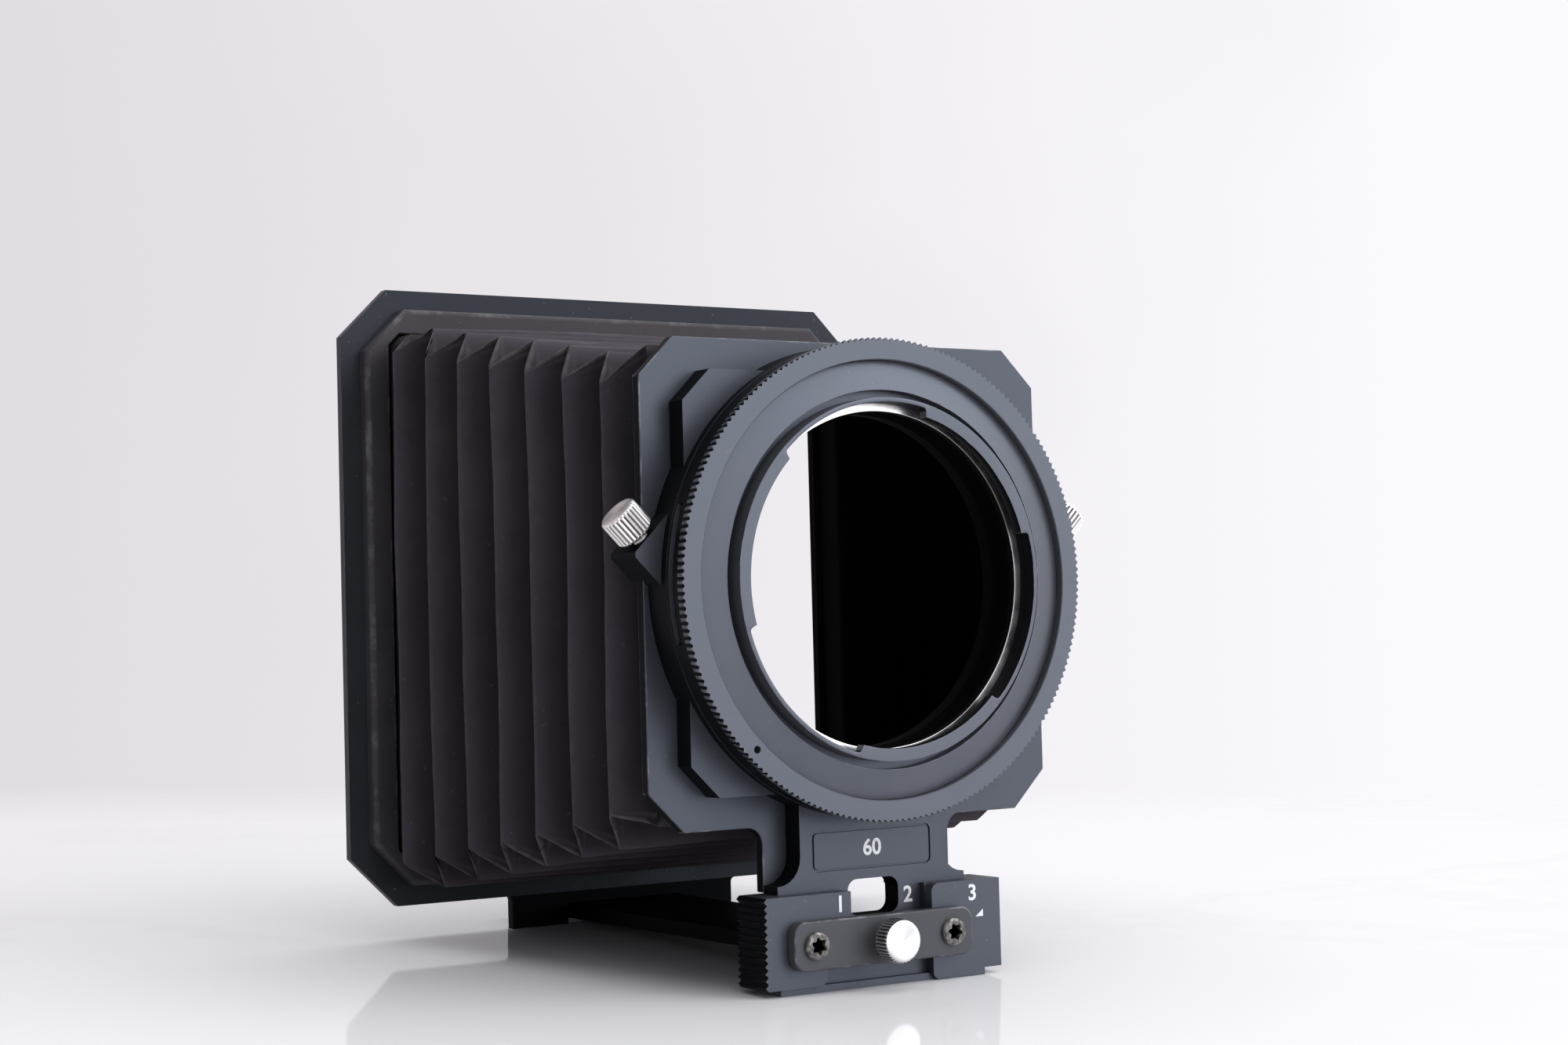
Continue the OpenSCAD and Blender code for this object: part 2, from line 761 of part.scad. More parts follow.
module strap_screws() {
  color([0.2, 0.2, 0.21]) strap_places() difference() {
    union() {
      bar_y(small_r - screw_fit, strap_rear - eps, base_rear + small_depth);
      rotate([-90, 0, 0]) translate([0, 0, strap_rear - small_head_h]) rotate_extrude() polygon([
        [0, 0], [small_head_r - head_bevel, 0], [small_head_r, head_edge],
        [small_head_r, small_head_h], [0, small_head_h]
      ]);
    }
    slab(strap_rear - small_head_h - cut, strap_rear - small_head_h + lobe_depth) six_lobe(lobe_r);
  }
}

module lock_knob() {
  color([0.8, 0.8, 0.8]) translate([strap_x, 0, strap_z]) difference() {
    union() {
      translate([0, lock_rear, 0]) rotate([-90, 0, 0])
        knurled_head(lock_d / 2, lock_l, lock_teeth, lock_knurl);
      bar_y(lock_neck_r, lock_rear + lock_l - eps, strap_rear - knob_gap);
    }
    bar_y(thread_r, strap_rear - lock_shank_gap - lock_bore_depth, strap_rear + cut);
  }
}

module lock_shank() {
  color([0.55, 0.55, 0.55]) bar_y(thread_r - screw_fit / 2,
    strap_rear - lock_shank_gap - lock_bore_depth + screw_fit, shoe_y - plug_gap, strap_x, strap_z);
}

module lock_shoe() {
  half = shoe_w / 2;
  color([0.72, 0.6, 0.34])
    box([strap_x - half, shoe_y, shoe_bottom], [strap_x + half, shoe_y + shoe_t, shoe_top]);
}

// Rail and front standard

module rail() {
  color([0.13, 0.13, 0.14]) difference() {
    box([-rail_r, rail_rear, rail_bottom], [rail_r, rail_front, rail_top]);
    keel_places() translate([0, 0, rail_bottom - cut])
      cylinder(r = small_r, h = keel_screw_bite + cut + tip_gap);
    for (s = [-1, 1]) translate([s * stop_x, stop_y, rail_bottom - cut])
      cylinder(r = small_r, h = rail_t + 2 * cut);
  }
}

module stop_screws() {
  color([0.3, 0.3, 0.31]) for (s = [-1, 1]) translate([s * stop_x, stop_y, rail_top]) {
    translate([0, 0, -rail_t]) cylinder(r = small_r - screw_fit, h = rail_t + eps);
    cylinder(r = stop_head_r, h = stop_head_h);
  }
}

// Places of the screws in the front retainer
module front_holds() {
  at = (front_out + front_in) / 2;
  along = frame_r / 2;
  for (s = [-1, 1], t = [-1, 1]) {
    translate([s * at, 0, t * along]) children();
    translate([t * along, 0, s * at]) children();
  }
}

module front_frame() {
  notch = rail_r + tongue_notch;
  color([0.12, 0.12, 0.13]) difference() {
    slab(frame_y, frame_front) difference() {
      union() {
        polygon(cut_square(frame_r, frame_chamfer));
        translate([-tongue_w / 2, tongue_bottom])
          square([tongue_w, -frame_r - tongue_bottom + tongue_fillet]);
        for (s = [-1, 1]) translate([s * tongue_w / 2, -frame_r]) fillet(tongue_fillet, s, -1);
      }
      polygon(cut_square(mouth_r, bellows_chamfer + mouth_corner));
      translate([-notch, tongue_bottom - cut])
        square([2 * notch, rail_top + tongue_notch - tongue_bottom + cut]);
    }
    front_holds() hold_sink(frame_front, frame_t);
    carriage_places() bar_y(small_r, frame_y + tap_end, frame_front + cut);
  }
}

module front_retainer() {
  color([0.14, 0.14, 0.16]) difference() {
    intersection() {
      slab(frame_y - retainer_h, frame_y) polygon(cut_square(front_out, front_chamfer));
      union() {
        slab(frame_y - retainer_h + bead, frame_y) square(2 * front_out + cut, center = true);
        slab(frame_y - retainer_h, frame_y) polygon(cut_square(front_out - bead, front_chamfer));
      }
    }
    slab(frame_y - retainer_h - cut, frame_y + cut) polygon(cut_square(front_in, bellows_chamfer));
    front_holds() bar_y(hold_r, frame_y - hold_depth - tip_gap, frame_y + cut);
  }
}

module front_screws() {
  color([0.3, 0.3, 0.31]) front_holds() hold_screw(frame_front, frame_t + hold_depth);
}

module carriage_places() {
  for (s = [-1, 1]) translate([s * carriage_screw_x, 0, carriage_screw_z]) children();
}

module carriage() {
  color([0.12, 0.12, 0.13]) difference() {
    box([-carriage_w / 2, frame_front, tongue_bottom],
      [carriage_w / 2, carriage_front, rail_top + carriage_roof]);
    box([-rail_r - slide_fit, frame_front - cut, rail_bottom - slide_fit],
      [rail_r + slide_fit, carriage_front + cut, rail_top + slide_fit]);
    box([lip_reach - rail_r, frame_front - cut, tongue_bottom - cut],
      [rail_r - lip_reach, carriage_front + cut, rail_top]);
    box([-pad_w / 2 - fit, pad_y - fit, rail_top],
      [pad_w / 2 + fit, pad_y + pad_l + fit, rail_top + pad_t + fit]);
    carriage_places() bar_y(small_r + hole_fit, frame_front - cut, carriage_front + cut);
  }
}

module carriage_screws() {
  color([0.3, 0.3, 0.31]) carriage_places() difference() {
    union() {
      bar_y(small_r - screw_fit, frame_y + tap_end + tip_gap, carriage_front + eps);
      bar_y(carriage_head_r, carriage_front, carriage_front + small_head_h);
    }
    slab(carriage_front + small_head_h - carriage_lobe_depth, carriage_front + small_head_h + cut)
      six_lobe(carriage_lobe_r);
  }
}

module friction_pad() {
  color([0.25, 0.2, 0.16])
    box([-pad_w / 2, pad_y, rail_top + screw_fit], [pad_w / 2, pad_y + pad_l, rail_top + pad_t]);
}

grip_ring();
lens_ring();
bayonet_ring();
ring_seat();
rear_plate();
seat_screws();
rear_retainer();
rear_retainer_screws();
bellows();
left_thumb_knob();
left_thumb_shank();
left_clamp_plug();
right_thumb_knob();
right_thumb_shank();
right_clamp_plug();
base_block();
keel_plate();
keel_screws();
keeper_strap();
strap_screws();
lock_knob();
lock_shank();
lock_shoe();
rail();
stop_screws();
front_frame();
front_retainer();
front_screws();
carriage();
carriage_screws();
friction_pad();
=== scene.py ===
"""Bellows lens hood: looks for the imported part."""

import json
from math import atan2, cos, degrees, hypot, pi, radians, sin, sqrt

import bmesh
import bpy
from mathutils import Matrix, Vector, noise


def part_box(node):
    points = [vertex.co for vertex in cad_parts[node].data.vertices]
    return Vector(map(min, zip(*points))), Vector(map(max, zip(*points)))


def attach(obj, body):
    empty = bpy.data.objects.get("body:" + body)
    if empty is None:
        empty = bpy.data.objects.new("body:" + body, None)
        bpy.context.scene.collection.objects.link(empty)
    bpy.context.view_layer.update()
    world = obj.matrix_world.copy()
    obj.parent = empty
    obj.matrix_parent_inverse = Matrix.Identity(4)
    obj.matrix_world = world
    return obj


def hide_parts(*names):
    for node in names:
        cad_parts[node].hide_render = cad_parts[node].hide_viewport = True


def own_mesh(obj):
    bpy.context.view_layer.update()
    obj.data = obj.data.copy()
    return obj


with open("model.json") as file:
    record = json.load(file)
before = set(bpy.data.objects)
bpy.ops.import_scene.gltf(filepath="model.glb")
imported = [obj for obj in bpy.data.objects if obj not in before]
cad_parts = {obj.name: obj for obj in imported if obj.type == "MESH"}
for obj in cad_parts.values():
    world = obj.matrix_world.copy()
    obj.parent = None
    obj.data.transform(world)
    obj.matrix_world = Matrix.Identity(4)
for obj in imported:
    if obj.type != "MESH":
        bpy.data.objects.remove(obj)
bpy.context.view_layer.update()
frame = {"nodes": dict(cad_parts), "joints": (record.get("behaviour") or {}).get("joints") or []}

bl_info = {
    "name": "Bellows lens hood",
    "version": (1, 0, 0),
    "blender": (4, 5, 0),
    "location": "View3D > Sidebar > Lens hood",
    "description": "Dresses the packed lens hood with its visible pieces and finishes",
    "category": "Object",
}

MM = 0.001


def low(node, axis):
    """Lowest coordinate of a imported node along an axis, in millimetres."""
    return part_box(node)[0]["xyz".index(axis)] / MM


def high(node, axis):
    """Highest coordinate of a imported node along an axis, in millimetres."""
    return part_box(node)[1]["xyz".index(axis)] / MM


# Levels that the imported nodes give, in millimetres
RIM_Y = low("grip_ring", "y")
RING_FRONT = high("grip_ring", "y")
RING_R = high("grip_ring", "x")
SEAT_Y = RING_FRONT + 1.8
BOSS_Y = low("ring_seat", "y")
PLATE_Y = low("rear_plate", "y")
PLATE_FRONT = high("rear_plate", "y")
PLATE_HALF = high("rear_plate", "x")
LUG_FRONT = high("ring_seat", "y")
TENON_BOTTOM = low("ring_seat", "z")
FRAME_Y = low("front_frame", "y")
FRAME_HALF = high("front_frame", "x")
BASE_TOP = high("base_block", "z")
BASE_REAR = low("base_block", "y")
BASE_HALF = high("base_block", "x")
STRAP_REAR = low("keeper_strap", "y")
BAYONET_R = high("bayonet_ring", "x")
BAYONET_Y = low("bayonet_ring", "y")
SHOULDER_Y = high("bayonet_ring", "y")
TRAVEL = -frame["joints"][0]["range_m"][0] / MM

# Side lugs that hold the thumb screws: reach of their point and its height
LUG_APEX = PLATE_HALF + 4.45
LUG_Z = 4.95
# Half width of the foot under the neck, and the middle of the panel on the neck
FOOT = 20.3
PANEL_Z = BASE_TOP + 7.0


class HoodSizes(bpy.types.PropertyGroup):
    """Sizes of the visible detail, in millimetres."""

    edge: bpy.props.FloatProperty(
        name="Edge", description="Rounding of the machined edges",
        default=0.22, min=0.05, max=0.6, unit="CAMERA",
    )
    knurl_depth: bpy.props.FloatProperty(
        name="Knurl depth", description="Depth of the grip ring's teeth",
        default=0.6, min=0.2, max=1.0, unit="CAMERA",
    )
    knurl_teeth: bpy.props.IntProperty(
        name="Knurl teeth", description="Teeth around the grip ring", default=210, min=90, max=300
    )
    fold_depth: bpy.props.FloatProperty(
        name="Fold depth", description="Depth of a bellows pleat",
        default=5.8, min=3, max=8, unit="CAMERA",
    )
    pleats: bpy.props.IntProperty(
        name="Pleats", description="Number of bellows pleats", default=7, min=4, max=14
    )
    cloth_t: bpy.props.FloatProperty(
        name="Cloth thickness", description="Thickness of the bellows cloth",
        default=0.25, min=0.1, max=0.9, unit="CAMERA",
    )
    sag: bpy.props.FloatProperty(
        name="Sag", description="How far the bellows hangs in its middle",
        default=2.3, min=0, max=4, unit="CAMERA",
    )
    mark_h: bpy.props.FloatProperty(
        name="Mark height", description="Height of the painted figures",
        default=2.9, min=1, max=4, unit="CAMERA",
    )


class HoodColours(bpy.types.PropertyGroup):
    """Colours of the finishes."""

    body: bpy.props.FloatVectorProperty(
        name="Body", description="Black anodised metal", subtype="COLOR",
        default=(0.033, 0.0345, 0.041),
    )
    ring: bpy.props.FloatVectorProperty(
        name="Ring", description="Anodised metal of the lens ring", subtype="COLOR",
        default=(0.055, 0.055, 0.062),
    )
    cloth: bpy.props.FloatVectorProperty(
        name="Cloth", description="Bellows cloth", subtype="COLOR", default=(0.0285, 0.0242, 0.0325)
    )
    silver: bpy.props.FloatVectorProperty(
        name="Silver", description="Bright turned metal", subtype="COLOR", default=(0.82, 0.8, 0.79)
    )
    screw: bpy.props.FloatVectorProperty(
        name="Screw", description="Blackened steel", subtype="COLOR", default=(0.055, 0.052, 0.049)
    )
    brass: bpy.props.FloatVectorProperty(
        name="Brass", description="Clamp plugs and shoe", subtype="COLOR", default=(0.62, 0.45, 0.2)
    )
    paint: bpy.props.FloatVectorProperty(
        name="Paint", description="Painted figures", subtype="COLOR", default=(0.8, 0.82, 0.83)
    )
    table: bpy.props.FloatVectorProperty(
        name="Table", description="Pale table", subtype="COLOR", default=(0.82, 0.812, 0.828)
    )


def sizes():
    return bpy.context.scene.hood_sizes


def colours():
    return bpy.context.scene.hood_colours


# Materials

DUST = (0.3, 0.29, 0.28)
BARE_EDGE = (0.3, 0.3, 0.31)
# Width of one thread of the cloth, in millimetres
THREAD = 0.42


class Nodes:
    """Short calls for building a node tree."""

    def __init__(self, name, world=None):
        self.material = world or bpy.data.materials.new(name)
        self.material.use_nodes = True
        self.tree = self.material.node_tree
        self.tree.nodes.clear()
        self.output = self.tree.nodes.new(f"ShaderNodeOutput{'World' if world else 'Material'}")

    def put(self, socket, value):
        """Gives a socket a number, a vector, a colour or a link."""
        if hasattr(value, "is_output"):
            self.tree.links.new(value, socket)
        elif socket.type == "RGBA":
            socket.default_value = (*value, 1.0)
        else:
            socket.default_value = value

    def add(self, kind, output, inputs=None, **settings):
        """Adds a node with its settings and inputs, and gives one of its outputs."""
        made = self.tree.nodes.new(f"ShaderNode{kind}")
        for key, value in settings.items():
            setattr(made, key, value)
        for key, value in (inputs or {}).items():
            self.put(made.inputs[key], value)
        return made.outputs[output]

    def coords(self, place=None, turn=(0, 0, 0)):
        """Object coordinates in metres, moved so that place is the centre."""
        texture = self.add("TexCoord", "Object")
        if place is None:
            return texture
        inputs = {"Vector": texture, "Location": place, "Rotation": turn}
        return self.add("Mapping", "Vector", inputs, vector_type="TEXTURE")

    def split(self, vector):
        """X, Y and Z of a vector."""
        return self.add("SeparateXYZ", "X", {"Vector": vector}).node.outputs

    def noise(self, vector, scale, detail=3.0, roughness=0.6):
        inputs = {"Vector": vector, "Scale": scale, "Detail": detail, "Roughness": roughness}
        return self.add("TexNoise", "Fac", inputs)

    def span(self, value, low_in, high_in, low_out=0.0, high_out=1.0):
        """Maps a range of values onto another, held at the ends."""
        ends = {"From Min": low_in, "From Max": high_in, "To Min": low_out, "To Max": high_out}
        return self.add("MapRange", "Result", {"Value": value, **ends})

    def math(self, operation, a, b=0.0):
        return self.add("Math", "Value", {0: a, 1: b}, operation=operation)

    def times(self, a, b):
        return self.math("MULTIPLY", a, b)

    def along(self, vector, way):
        """How far a vector reaches along a way."""
        inputs = {0: vector, 1: way.normalized()}
        return self.add("VectorMath", "Value", inputs, operation="DOT_PRODUCT")

    def mix(self, factor, a, b):
        """Mixes two colours, each a colour or a socket."""
        return self.add("Mix", 2, {"Factor": factor, 6: a, 7: b}, data_type="RGBA")

    def attribute(self, name):
        return self.add("Attribute", "Fac", attribute_name=name)

    def bump(self, height, strength, distance):
        inputs = {"Height": height, "Strength": strength, "Distance": distance}
        return self.add("Bump", "Normal", inputs)

    def show(self, shader):
        self.put(self.output.inputs["Surface"], shader)
        return self.material

    def blend(self, factor, first, second):
        """Shows one of two shaders on the output, or a mix of them."""
        self.show(self.add("MixShader", "Shader", {0: factor, 1: first, 2: second}))

    def surface(self, **inputs):
        """Principled shader; each value is a number, a colour or a socket."""
        named = {key.replace("_", " "): value for key, value in inputs.items()}
        return self.show(self.add("BsdfPrincipled", "BSDF", named))


def scaled(colour, factor):
    return tuple(min(1.0, c * factor) for c in colour)


def anodised(name, colour, rough, dust=0.2, shine=0.8, tint=(0.72, 0.82, 1.0)):
    """Satin anodised metal: fine blasted grain, hazy patches, dust specks and rubbed edges."""
    n = Nodes(name)
    place = n.coords()
    patches = n.noise(place, 55.0, 4.0)
    grain = n.noise(place, 2600.0, 2.0, 0.5)
    specks = n.span(n.noise(place, 1300.0, 2.0, 0.4), 0.745, 0.775)
    rub = n.span(n.noise(place, 240.0), 0.5, 0.68)
    edge = n.times(n.attribute("wear"), rub)
    tone = n.mix(n.span(patches, 0.3, 0.7), scaled(colour, 0.82), scaled(colour, 1.22))
    tone = n.mix(n.times(specks, dust), tone, DUST)
    tone = n.mix(n.times(edge, 0.55), tone, BARE_EDGE)
    return n.surface(
        Base_Color=tone,
        Roughness=n.span(patches, 0.25, 0.75, rough - 0.05, rough + 0.06),
        Specular_IOR_Level=shine,
        Specular_Tint=tint,
        Normal=n.bump(grain, 0.22, 0.00004),
    )


def bellows_cloth(name, colour):
    """Coated black cloth: fine weave, faded creases, dust and brown handling marks, with painted
    highlight on the pleat ridges and painted shade in the pleat valleys.
    """
    n = Nodes(name)
    place = n.coords()
    fold = n.attribute("fold")
    uv = n.split(n.add("UVMap", "UV", uv_map="cloth"))
    warp, weft = (n.math("SINE", n.times(uv[axis], 2.0 * pi / THREAD)) for axis in "XY")
    blotch = n.noise(place, 30.0, 5.0, 0.62)
    handled = n.span(n.noise(n.coords(place=(0.3, 0.1, 0.2)), 21.0, 4.0), 0.56, 0.72)
    fine = n.noise(place, 420.0)
    specks = n.span(n.noise(place, 700.0, 2.0, 0.45), 0.72, 0.76)
    lighter = (colour[0] * 1.7, colour[1] * 1.55, colour[2] * 1.55)
    tone = n.mix(n.span(blotch, 0.35, 0.7), scaled(colour, 0.72), lighter)
    tone = n.mix(n.times(handled, 0.75), tone, (0.05, 0.041, 0.042))
    # painted highlight along the pleat ridges
    tone = n.mix(n.span(fold, 0.55, 0.95, 0.0, 0.3), tone, scaled(colour, 2.2))
    # painted shade in the pleat valleys
    tone = n.mix(n.span(fold, 0.0, 0.85, 0.9, 0.0), tone, scaled(colour, 0.22))
    faded = n.times(n.attribute("crease"), n.span(fine, 0.35, 0.65, 0.25, 1.0))
    tone = n.mix(n.times(faded, 0.55), tone, (0.12, 0.108, 0.105))
    tone = n.mix(n.times(specks, 0.07), tone, (0.26, 0.24, 0.23))
    height = n.math("ADD", n.times(n.times(warp, weft), 0.3), fine)
    return n.surface(
        Base_Color=tone,
        Roughness=n.span(blotch, 0.3, 0.7, 0.62, 0.78),
        Specular_IOR_Level=0.14,
        Sheen_Weight=0.03,
        Sheen_Roughness=0.5,
        Normal=n.bump(height, 0.35, 0.00012),
    )


def lining(name):
    """Dead black inner face of the bellows."""
    n = Nodes(name)
    nap = n.noise(n.coords(), 900.0)
    return n.surface(
        Base_Color=n.mix(nap, (0.0012, 0.001, 0.001), (0.0035, 0.0026, 0.0022)),
        Roughness=0.9, Specular_IOR_Level=0.08, Normal=n.bump(nap, 0.3, 0.0001),
    )


def bare_metal(name, colour):
    """Bright metal that was turned bare, with a little haze and fine rubbing."""
    n = Nodes(name)
    haze = n.noise(n.coords(), 260.0, 4.0)
    return n.surface(
        Base_Color=n.mix(n.span(haze, 0.35, 0.7), scaled(colour, 0.72), scaled(colour, 1.05)),
        Metallic=1.0, Roughness=n.span(haze, 0.3, 0.7, 0.26, 0.4),
        Normal=n.bump(n.noise(n.coords(), 1900.0, 2.0, 0.5), 0.12, 0.00003),
    )


def turned_metal(name, colour, face, place, turn):
    """Bright turned metal with fine lathe rings about its own axis, painted shade between its teeth
    and a painted conic sheen on its end face.
    """
    n = Nodes(name)
    around = n.coords(place=place, turn=turn)
    rings = n.add(
        "TexWave", "Fac", {"Vector": around, "Scale": 1500.0, "Distortion": 0.6, "Detail": 1.0},
        wave_type="RINGS", rings_direction="Z", wave_profile="SAW",
    )
    haze = n.noise(n.coords(), 480.0)
    pits = n.span(n.noise(n.coords(), 1500.0, 2.0, 0.5), 0.7, 0.76)
    flat = n.split(around)
    # painted sheen: the end face is lighter and darker in a fan about its axis
    conic_sheen = n.math("SINE", n.times(n.math("ARCTAN2", flat["Y"], flat["X"]), 2.0))
    tone = n.mix(n.span(haze, 0.35, 0.7), scaled(colour, 0.86), colour)
    tone = n.mix(n.times(n.attribute("wear"), 0.5), tone, scaled(colour, 1.15))
    # painted shade between the knurl teeth
    tone = n.mix(n.times(n.attribute("recess_shade"), 0.7), tone, (0.07, 0.06, 0.055))
    end = n.mix(n.span(conic_sheen, -0.2, 1.0), face, scaled(face, 0.74))
    tone = n.mix(n.attribute("face"), tone, end)
    tone = n.mix(n.times(pits, 0.25), tone, (0.25, 0.23, 0.2))
    return n.surface(
        Base_Color=tone, Metallic=1.0, Roughness=n.span(haze, 0.3, 0.7, 0.29, 0.42),
        Normal=n.bump(rings, 0.08, 0.00003),
    )


def worn_screw(name, colour):
    """Blackened steel, rubbed bright on its edges, with painted shade in its recess."""
    n = Nodes(name)
    place = n.coords()
    rub = n.span(n.noise(place, 900.0), 0.42, 0.62)
    scuff = n.span(n.noise(place, 1500.0), 0.56, 0.7)
    bare = n.math("MAXIMUM", n.times(n.attribute("wear"), rub), n.times(scuff, 0.7))
    tone = n.mix(bare, colour, (0.34, 0.33, 0.31))
    # painted shade in the recess
    tone = n.mix(n.times(n.attribute("recess_shade"), 0.8), tone, (0.09, 0.08, 0.065))
    return n.surface(
        Base_Color=tone,
        Metallic=n.span(bare, 0.0, 1.0, 0.15, 0.9),
        Roughness=n.span(n.noise(place, 700.0, 3.0, 0.5), 0.3, 0.7, 0.32, 0.5),
        Normal=n.bump(scuff, 0.2, 0.00005),
    )


def brass_finish(name, colour):
    """Plain brass with a dull haze."""
    n = Nodes(name)
    haze = n.noise(n.coords(), 300.0)
    return n.surface(
        Base_Color=n.mix(haze, scaled(colour, 0.75), colour), Metallic=1.0,
        Roughness=n.span(haze, 0.3, 0.7, 0.28, 0.45), Normal=n.bump(haze, 0.1, 0.00005),
    )


def felt_finish(name):
    """Dark brown felt."""
    n = Nodes(name)
    fibre = n.noise(n.coords(), 1800.0, 4.0, 0.7)
    return n.surface(
        Base_Color=n.mix(fibre, (0.02, 0.016, 0.013), (0.07, 0.058, 0.05)),
        Roughness=0.95, Sheen_Weight=0.4, Normal=n.bump(fibre, 0.6, 0.0002),
    )


def mark_paint(name, colour):
    """White paint, thin and chipped in places."""
    n = Nodes(name)
    chips = n.span(n.noise(n.coords(), 1900.0), 0.6, 0.68)
    return n.surface(
        Base_Color=n.mix(n.times(chips, 0.5), colour, (0.2, 0.2, 0.21)),
        Roughness=0.55, Normal=n.bump(chips, 0.15, 0.00003),
    )


def finish(name):
    """The material of one finish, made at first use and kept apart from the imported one."""
    key = f"hood_{name}"
    found = bpy.data.materials.get(key)
    if found:
        return found
    c = colours()
    bead, strap = (0.044, 0.041, 0.047), (0.05, 0.05, 0.055)
    makers = {
        "body_black": lambda: anodised(key, tuple(c.body), 0.42),
        "ring_black": lambda: anodised(key, tuple(c.ring), 0.4, shine=1.0),
        # painted shade: a darker, duller copy of the body finish for the front frame, which lies in
        # shade
        "shaded_frame_black": lambda: anodised(key, scaled(c.body, 0.6), 0.46, dust=0.3, shine=0.25),
        "bead_black": lambda: anodised(key, bead, 0.55, shine=0.25, tint=(1.0, 0.96, 0.98)),
        "strap_black": lambda: anodised(key, strap, 0.46, shine=0.5, tint=(0.86, 0.9, 1.0)),
        # painted shade: a near-black, nearly unreflecting copy of the body finish, put on grooves,
        # walls, the rail and the tongue where shade falls
        "painted_shade_black": lambda: anodised(key, scaled(c.body, 0.15), 0.5, dust=0.1, shine=0.04),
        "bellows_cloth": lambda: bellows_cloth(key, tuple(c.cloth)),
        "bellows_lining": lambda: lining(key),
        "bare_metal": lambda: bare_metal(key, tuple(c.silver)),
        "black_screw": lambda: worn_screw(key, tuple(c.screw)),
        "plug_brass": lambda: brass_finish(key, tuple(c.brass)),
        "felt": lambda: felt_finish(key),
        "mark_paint": lambda: mark_paint(key, tuple(c.paint)),
    }
    return makers[name]()


# Mesh helpers; the mesh of a piece is made in millimetres and scaled to metres at its end

# Distance under which two points are one, and the least angle of an edge that is rounded
NEAR = 0.0005
SHARP = radians(28.0)


def from_axis(point):
    """Distance of a point from the optical axis, or from an axis along Y through the origin."""
    return hypot(point.x, point.z)


def draw_in(vert, share):
    """Moves a point to a share of its distance from the axis."""
    vert.co.x *= share
    vert.co.z *= share


def face_layer(bm, name):
    layers = bm.faces.layers.float
    return layers.get(name) or layers.new(name)


def loop_of(bm, points, y):
    """Closed chain of edges through points of X and Z."""
    verts = [bm.verts.new((x, y, z)) for x, z in points]
    edges = [bm.edges.new((a, b)) for a, b in zip(verts, verts[1:] + verts[:1])]
    return verts, edges


def chain(edges):
    """All edges of a chain after its corners were rounded."""
    start = next(e for e in edges if e.is_valid)
    found, open_edges = {start: True}, [start]
    while open_edges:
        for v in open_edges.pop().verts:
            for e in v.link_edges:
                if e not in found:
                    found[e] = True
                    open_edges.append(e)
    return list(found)


def flat_line(bm, points, y, radius=0.0, corners=None, segments=6):
    """Closed chain through points of X and Z, with some or all of its corners rounded."""
    verts, edges = loop_of(bm, points, y)
    if not radius:
        return edges
    made = bmesh.ops.bevel(
        bm, geom=[verts[i] for i in corners] if corners else verts, offset=radius,
        offset_type="OFFSET", affect="VERTICES", segments=segments, profile=0.5, material=-1,
        clamp_overlap=True,
    )
    return chain(edges + made["edges"])


def cut_square(half, chamfer):
    """Square with cut corners, as points of X and Z."""
    h, c = half, half - chamfer
    return [(h, c), (c, h), (-c, h), (-h, c), (-h, -c), (-c, -h), (c, -h), (h, -c)]


def rectangle(left, right, bottom, top):
    return [(right, top), (left, top), (left, bottom), (right, bottom)]


def ring_of(bm, radius, y, x=0.0, z=0.0, segments=160):
    """Closed circle of edges facing along Y."""
    made = bmesh.ops.create_circle(
        bm, cap_ends=False, radius=radius, segments=segments,
        matrix=Matrix.Translation((x, y, z)) @ Matrix.Rotation(radians(90), 4, "X"),
    )
    return list(dict.fromkeys(e for v in made["verts"] for e in v.link_edges))


def fill(bm, edges, facing=-1):
    """Fills chains as one flat sheet with holes and gives its faces."""
    before = set(bm.faces)
    bmesh.ops.triangle_fill(
        bm, use_beauty=True, use_dissolve=False, edges=edges, normal=(0, facing, 0)
    )
    return [f for f in bm.faces if f not in before]


def thicken(bm, sheet, depth):
    """Gives a flat sheet a thickness along Y."""
    geom = bmesh.ops.extrude_face_region(bm, geom=sheet)["geom"]
    moved = [g for g in geom if isinstance(g, bmesh.types.BMVert)]
    bmesh.ops.translate(bm, vec=(0, depth, 0), verts=moved)


def slab(bm, edges, depth):
    """Fills the chains and gives the sheet a thickness along Y."""
    thicken(bm, fill(bm, edges), depth)


def pull(bm, edges, move=(0, 0, 0)):
    """Extrudes a chain and gives its new points, its new end edges and the new faces."""
    geom = bmesh.ops.extrude_edge_only(bm, edges=edges)["geom"]
    verts = [g for g in geom if isinstance(g, bmesh.types.BMVert)]
    new = set(verts)
    ends = [g for g in geom if isinstance(g, bmesh.types.BMEdge) and new.issuperset(g.verts)]
    bmesh.ops.translate(bm, vec=move, verts=verts)
    return verts, ends, [g for g in geom if isinstance(g, bmesh.types.BMFace)]


def outward(bm):
    """Turns the faces outwards."""
    bmesh.ops.recalc_face_normals(bm, faces=bm.faces)


def tidy(bm):
    """Merges doubles, joins flat triangles and turns the faces outwards."""
    bmesh.ops.remove_doubles(bm, verts=bm.verts, dist=NEAR)
    outward(bm)
    bmesh.ops.dissolve_limit(
        bm, angle_limit=radians(0.4), use_dissolve_boundaries=False,
        verts=bm.verts, edges=bm.edges,
    )


def round_edges(bm, edges, width, segments, rubbed):
    """Rounds edges and notes how rubbed the new faces are."""
    wear = face_layer(bm, "wear")
    made = bmesh.ops.bevel(
        bm, geom=edges, offset=width, offset_type="OFFSET", affect="EDGES", segments=segments,
        profile=0.5, material=-1, clamp_overlap=True, loop_slide=False,
    )
    for face in made["faces"]:
        face[wear] = rubbed


def ease(bm, width, segments=2):
    """Rounds the outer edges."""
    edges = [
        e for e in bm.edges
        if len(e.link_faces) == 2 and e.is_convex and e.calc_face_angle(0.0) > SHARP
    ]
    round_edges(bm, edges, width, segments, 1.0)


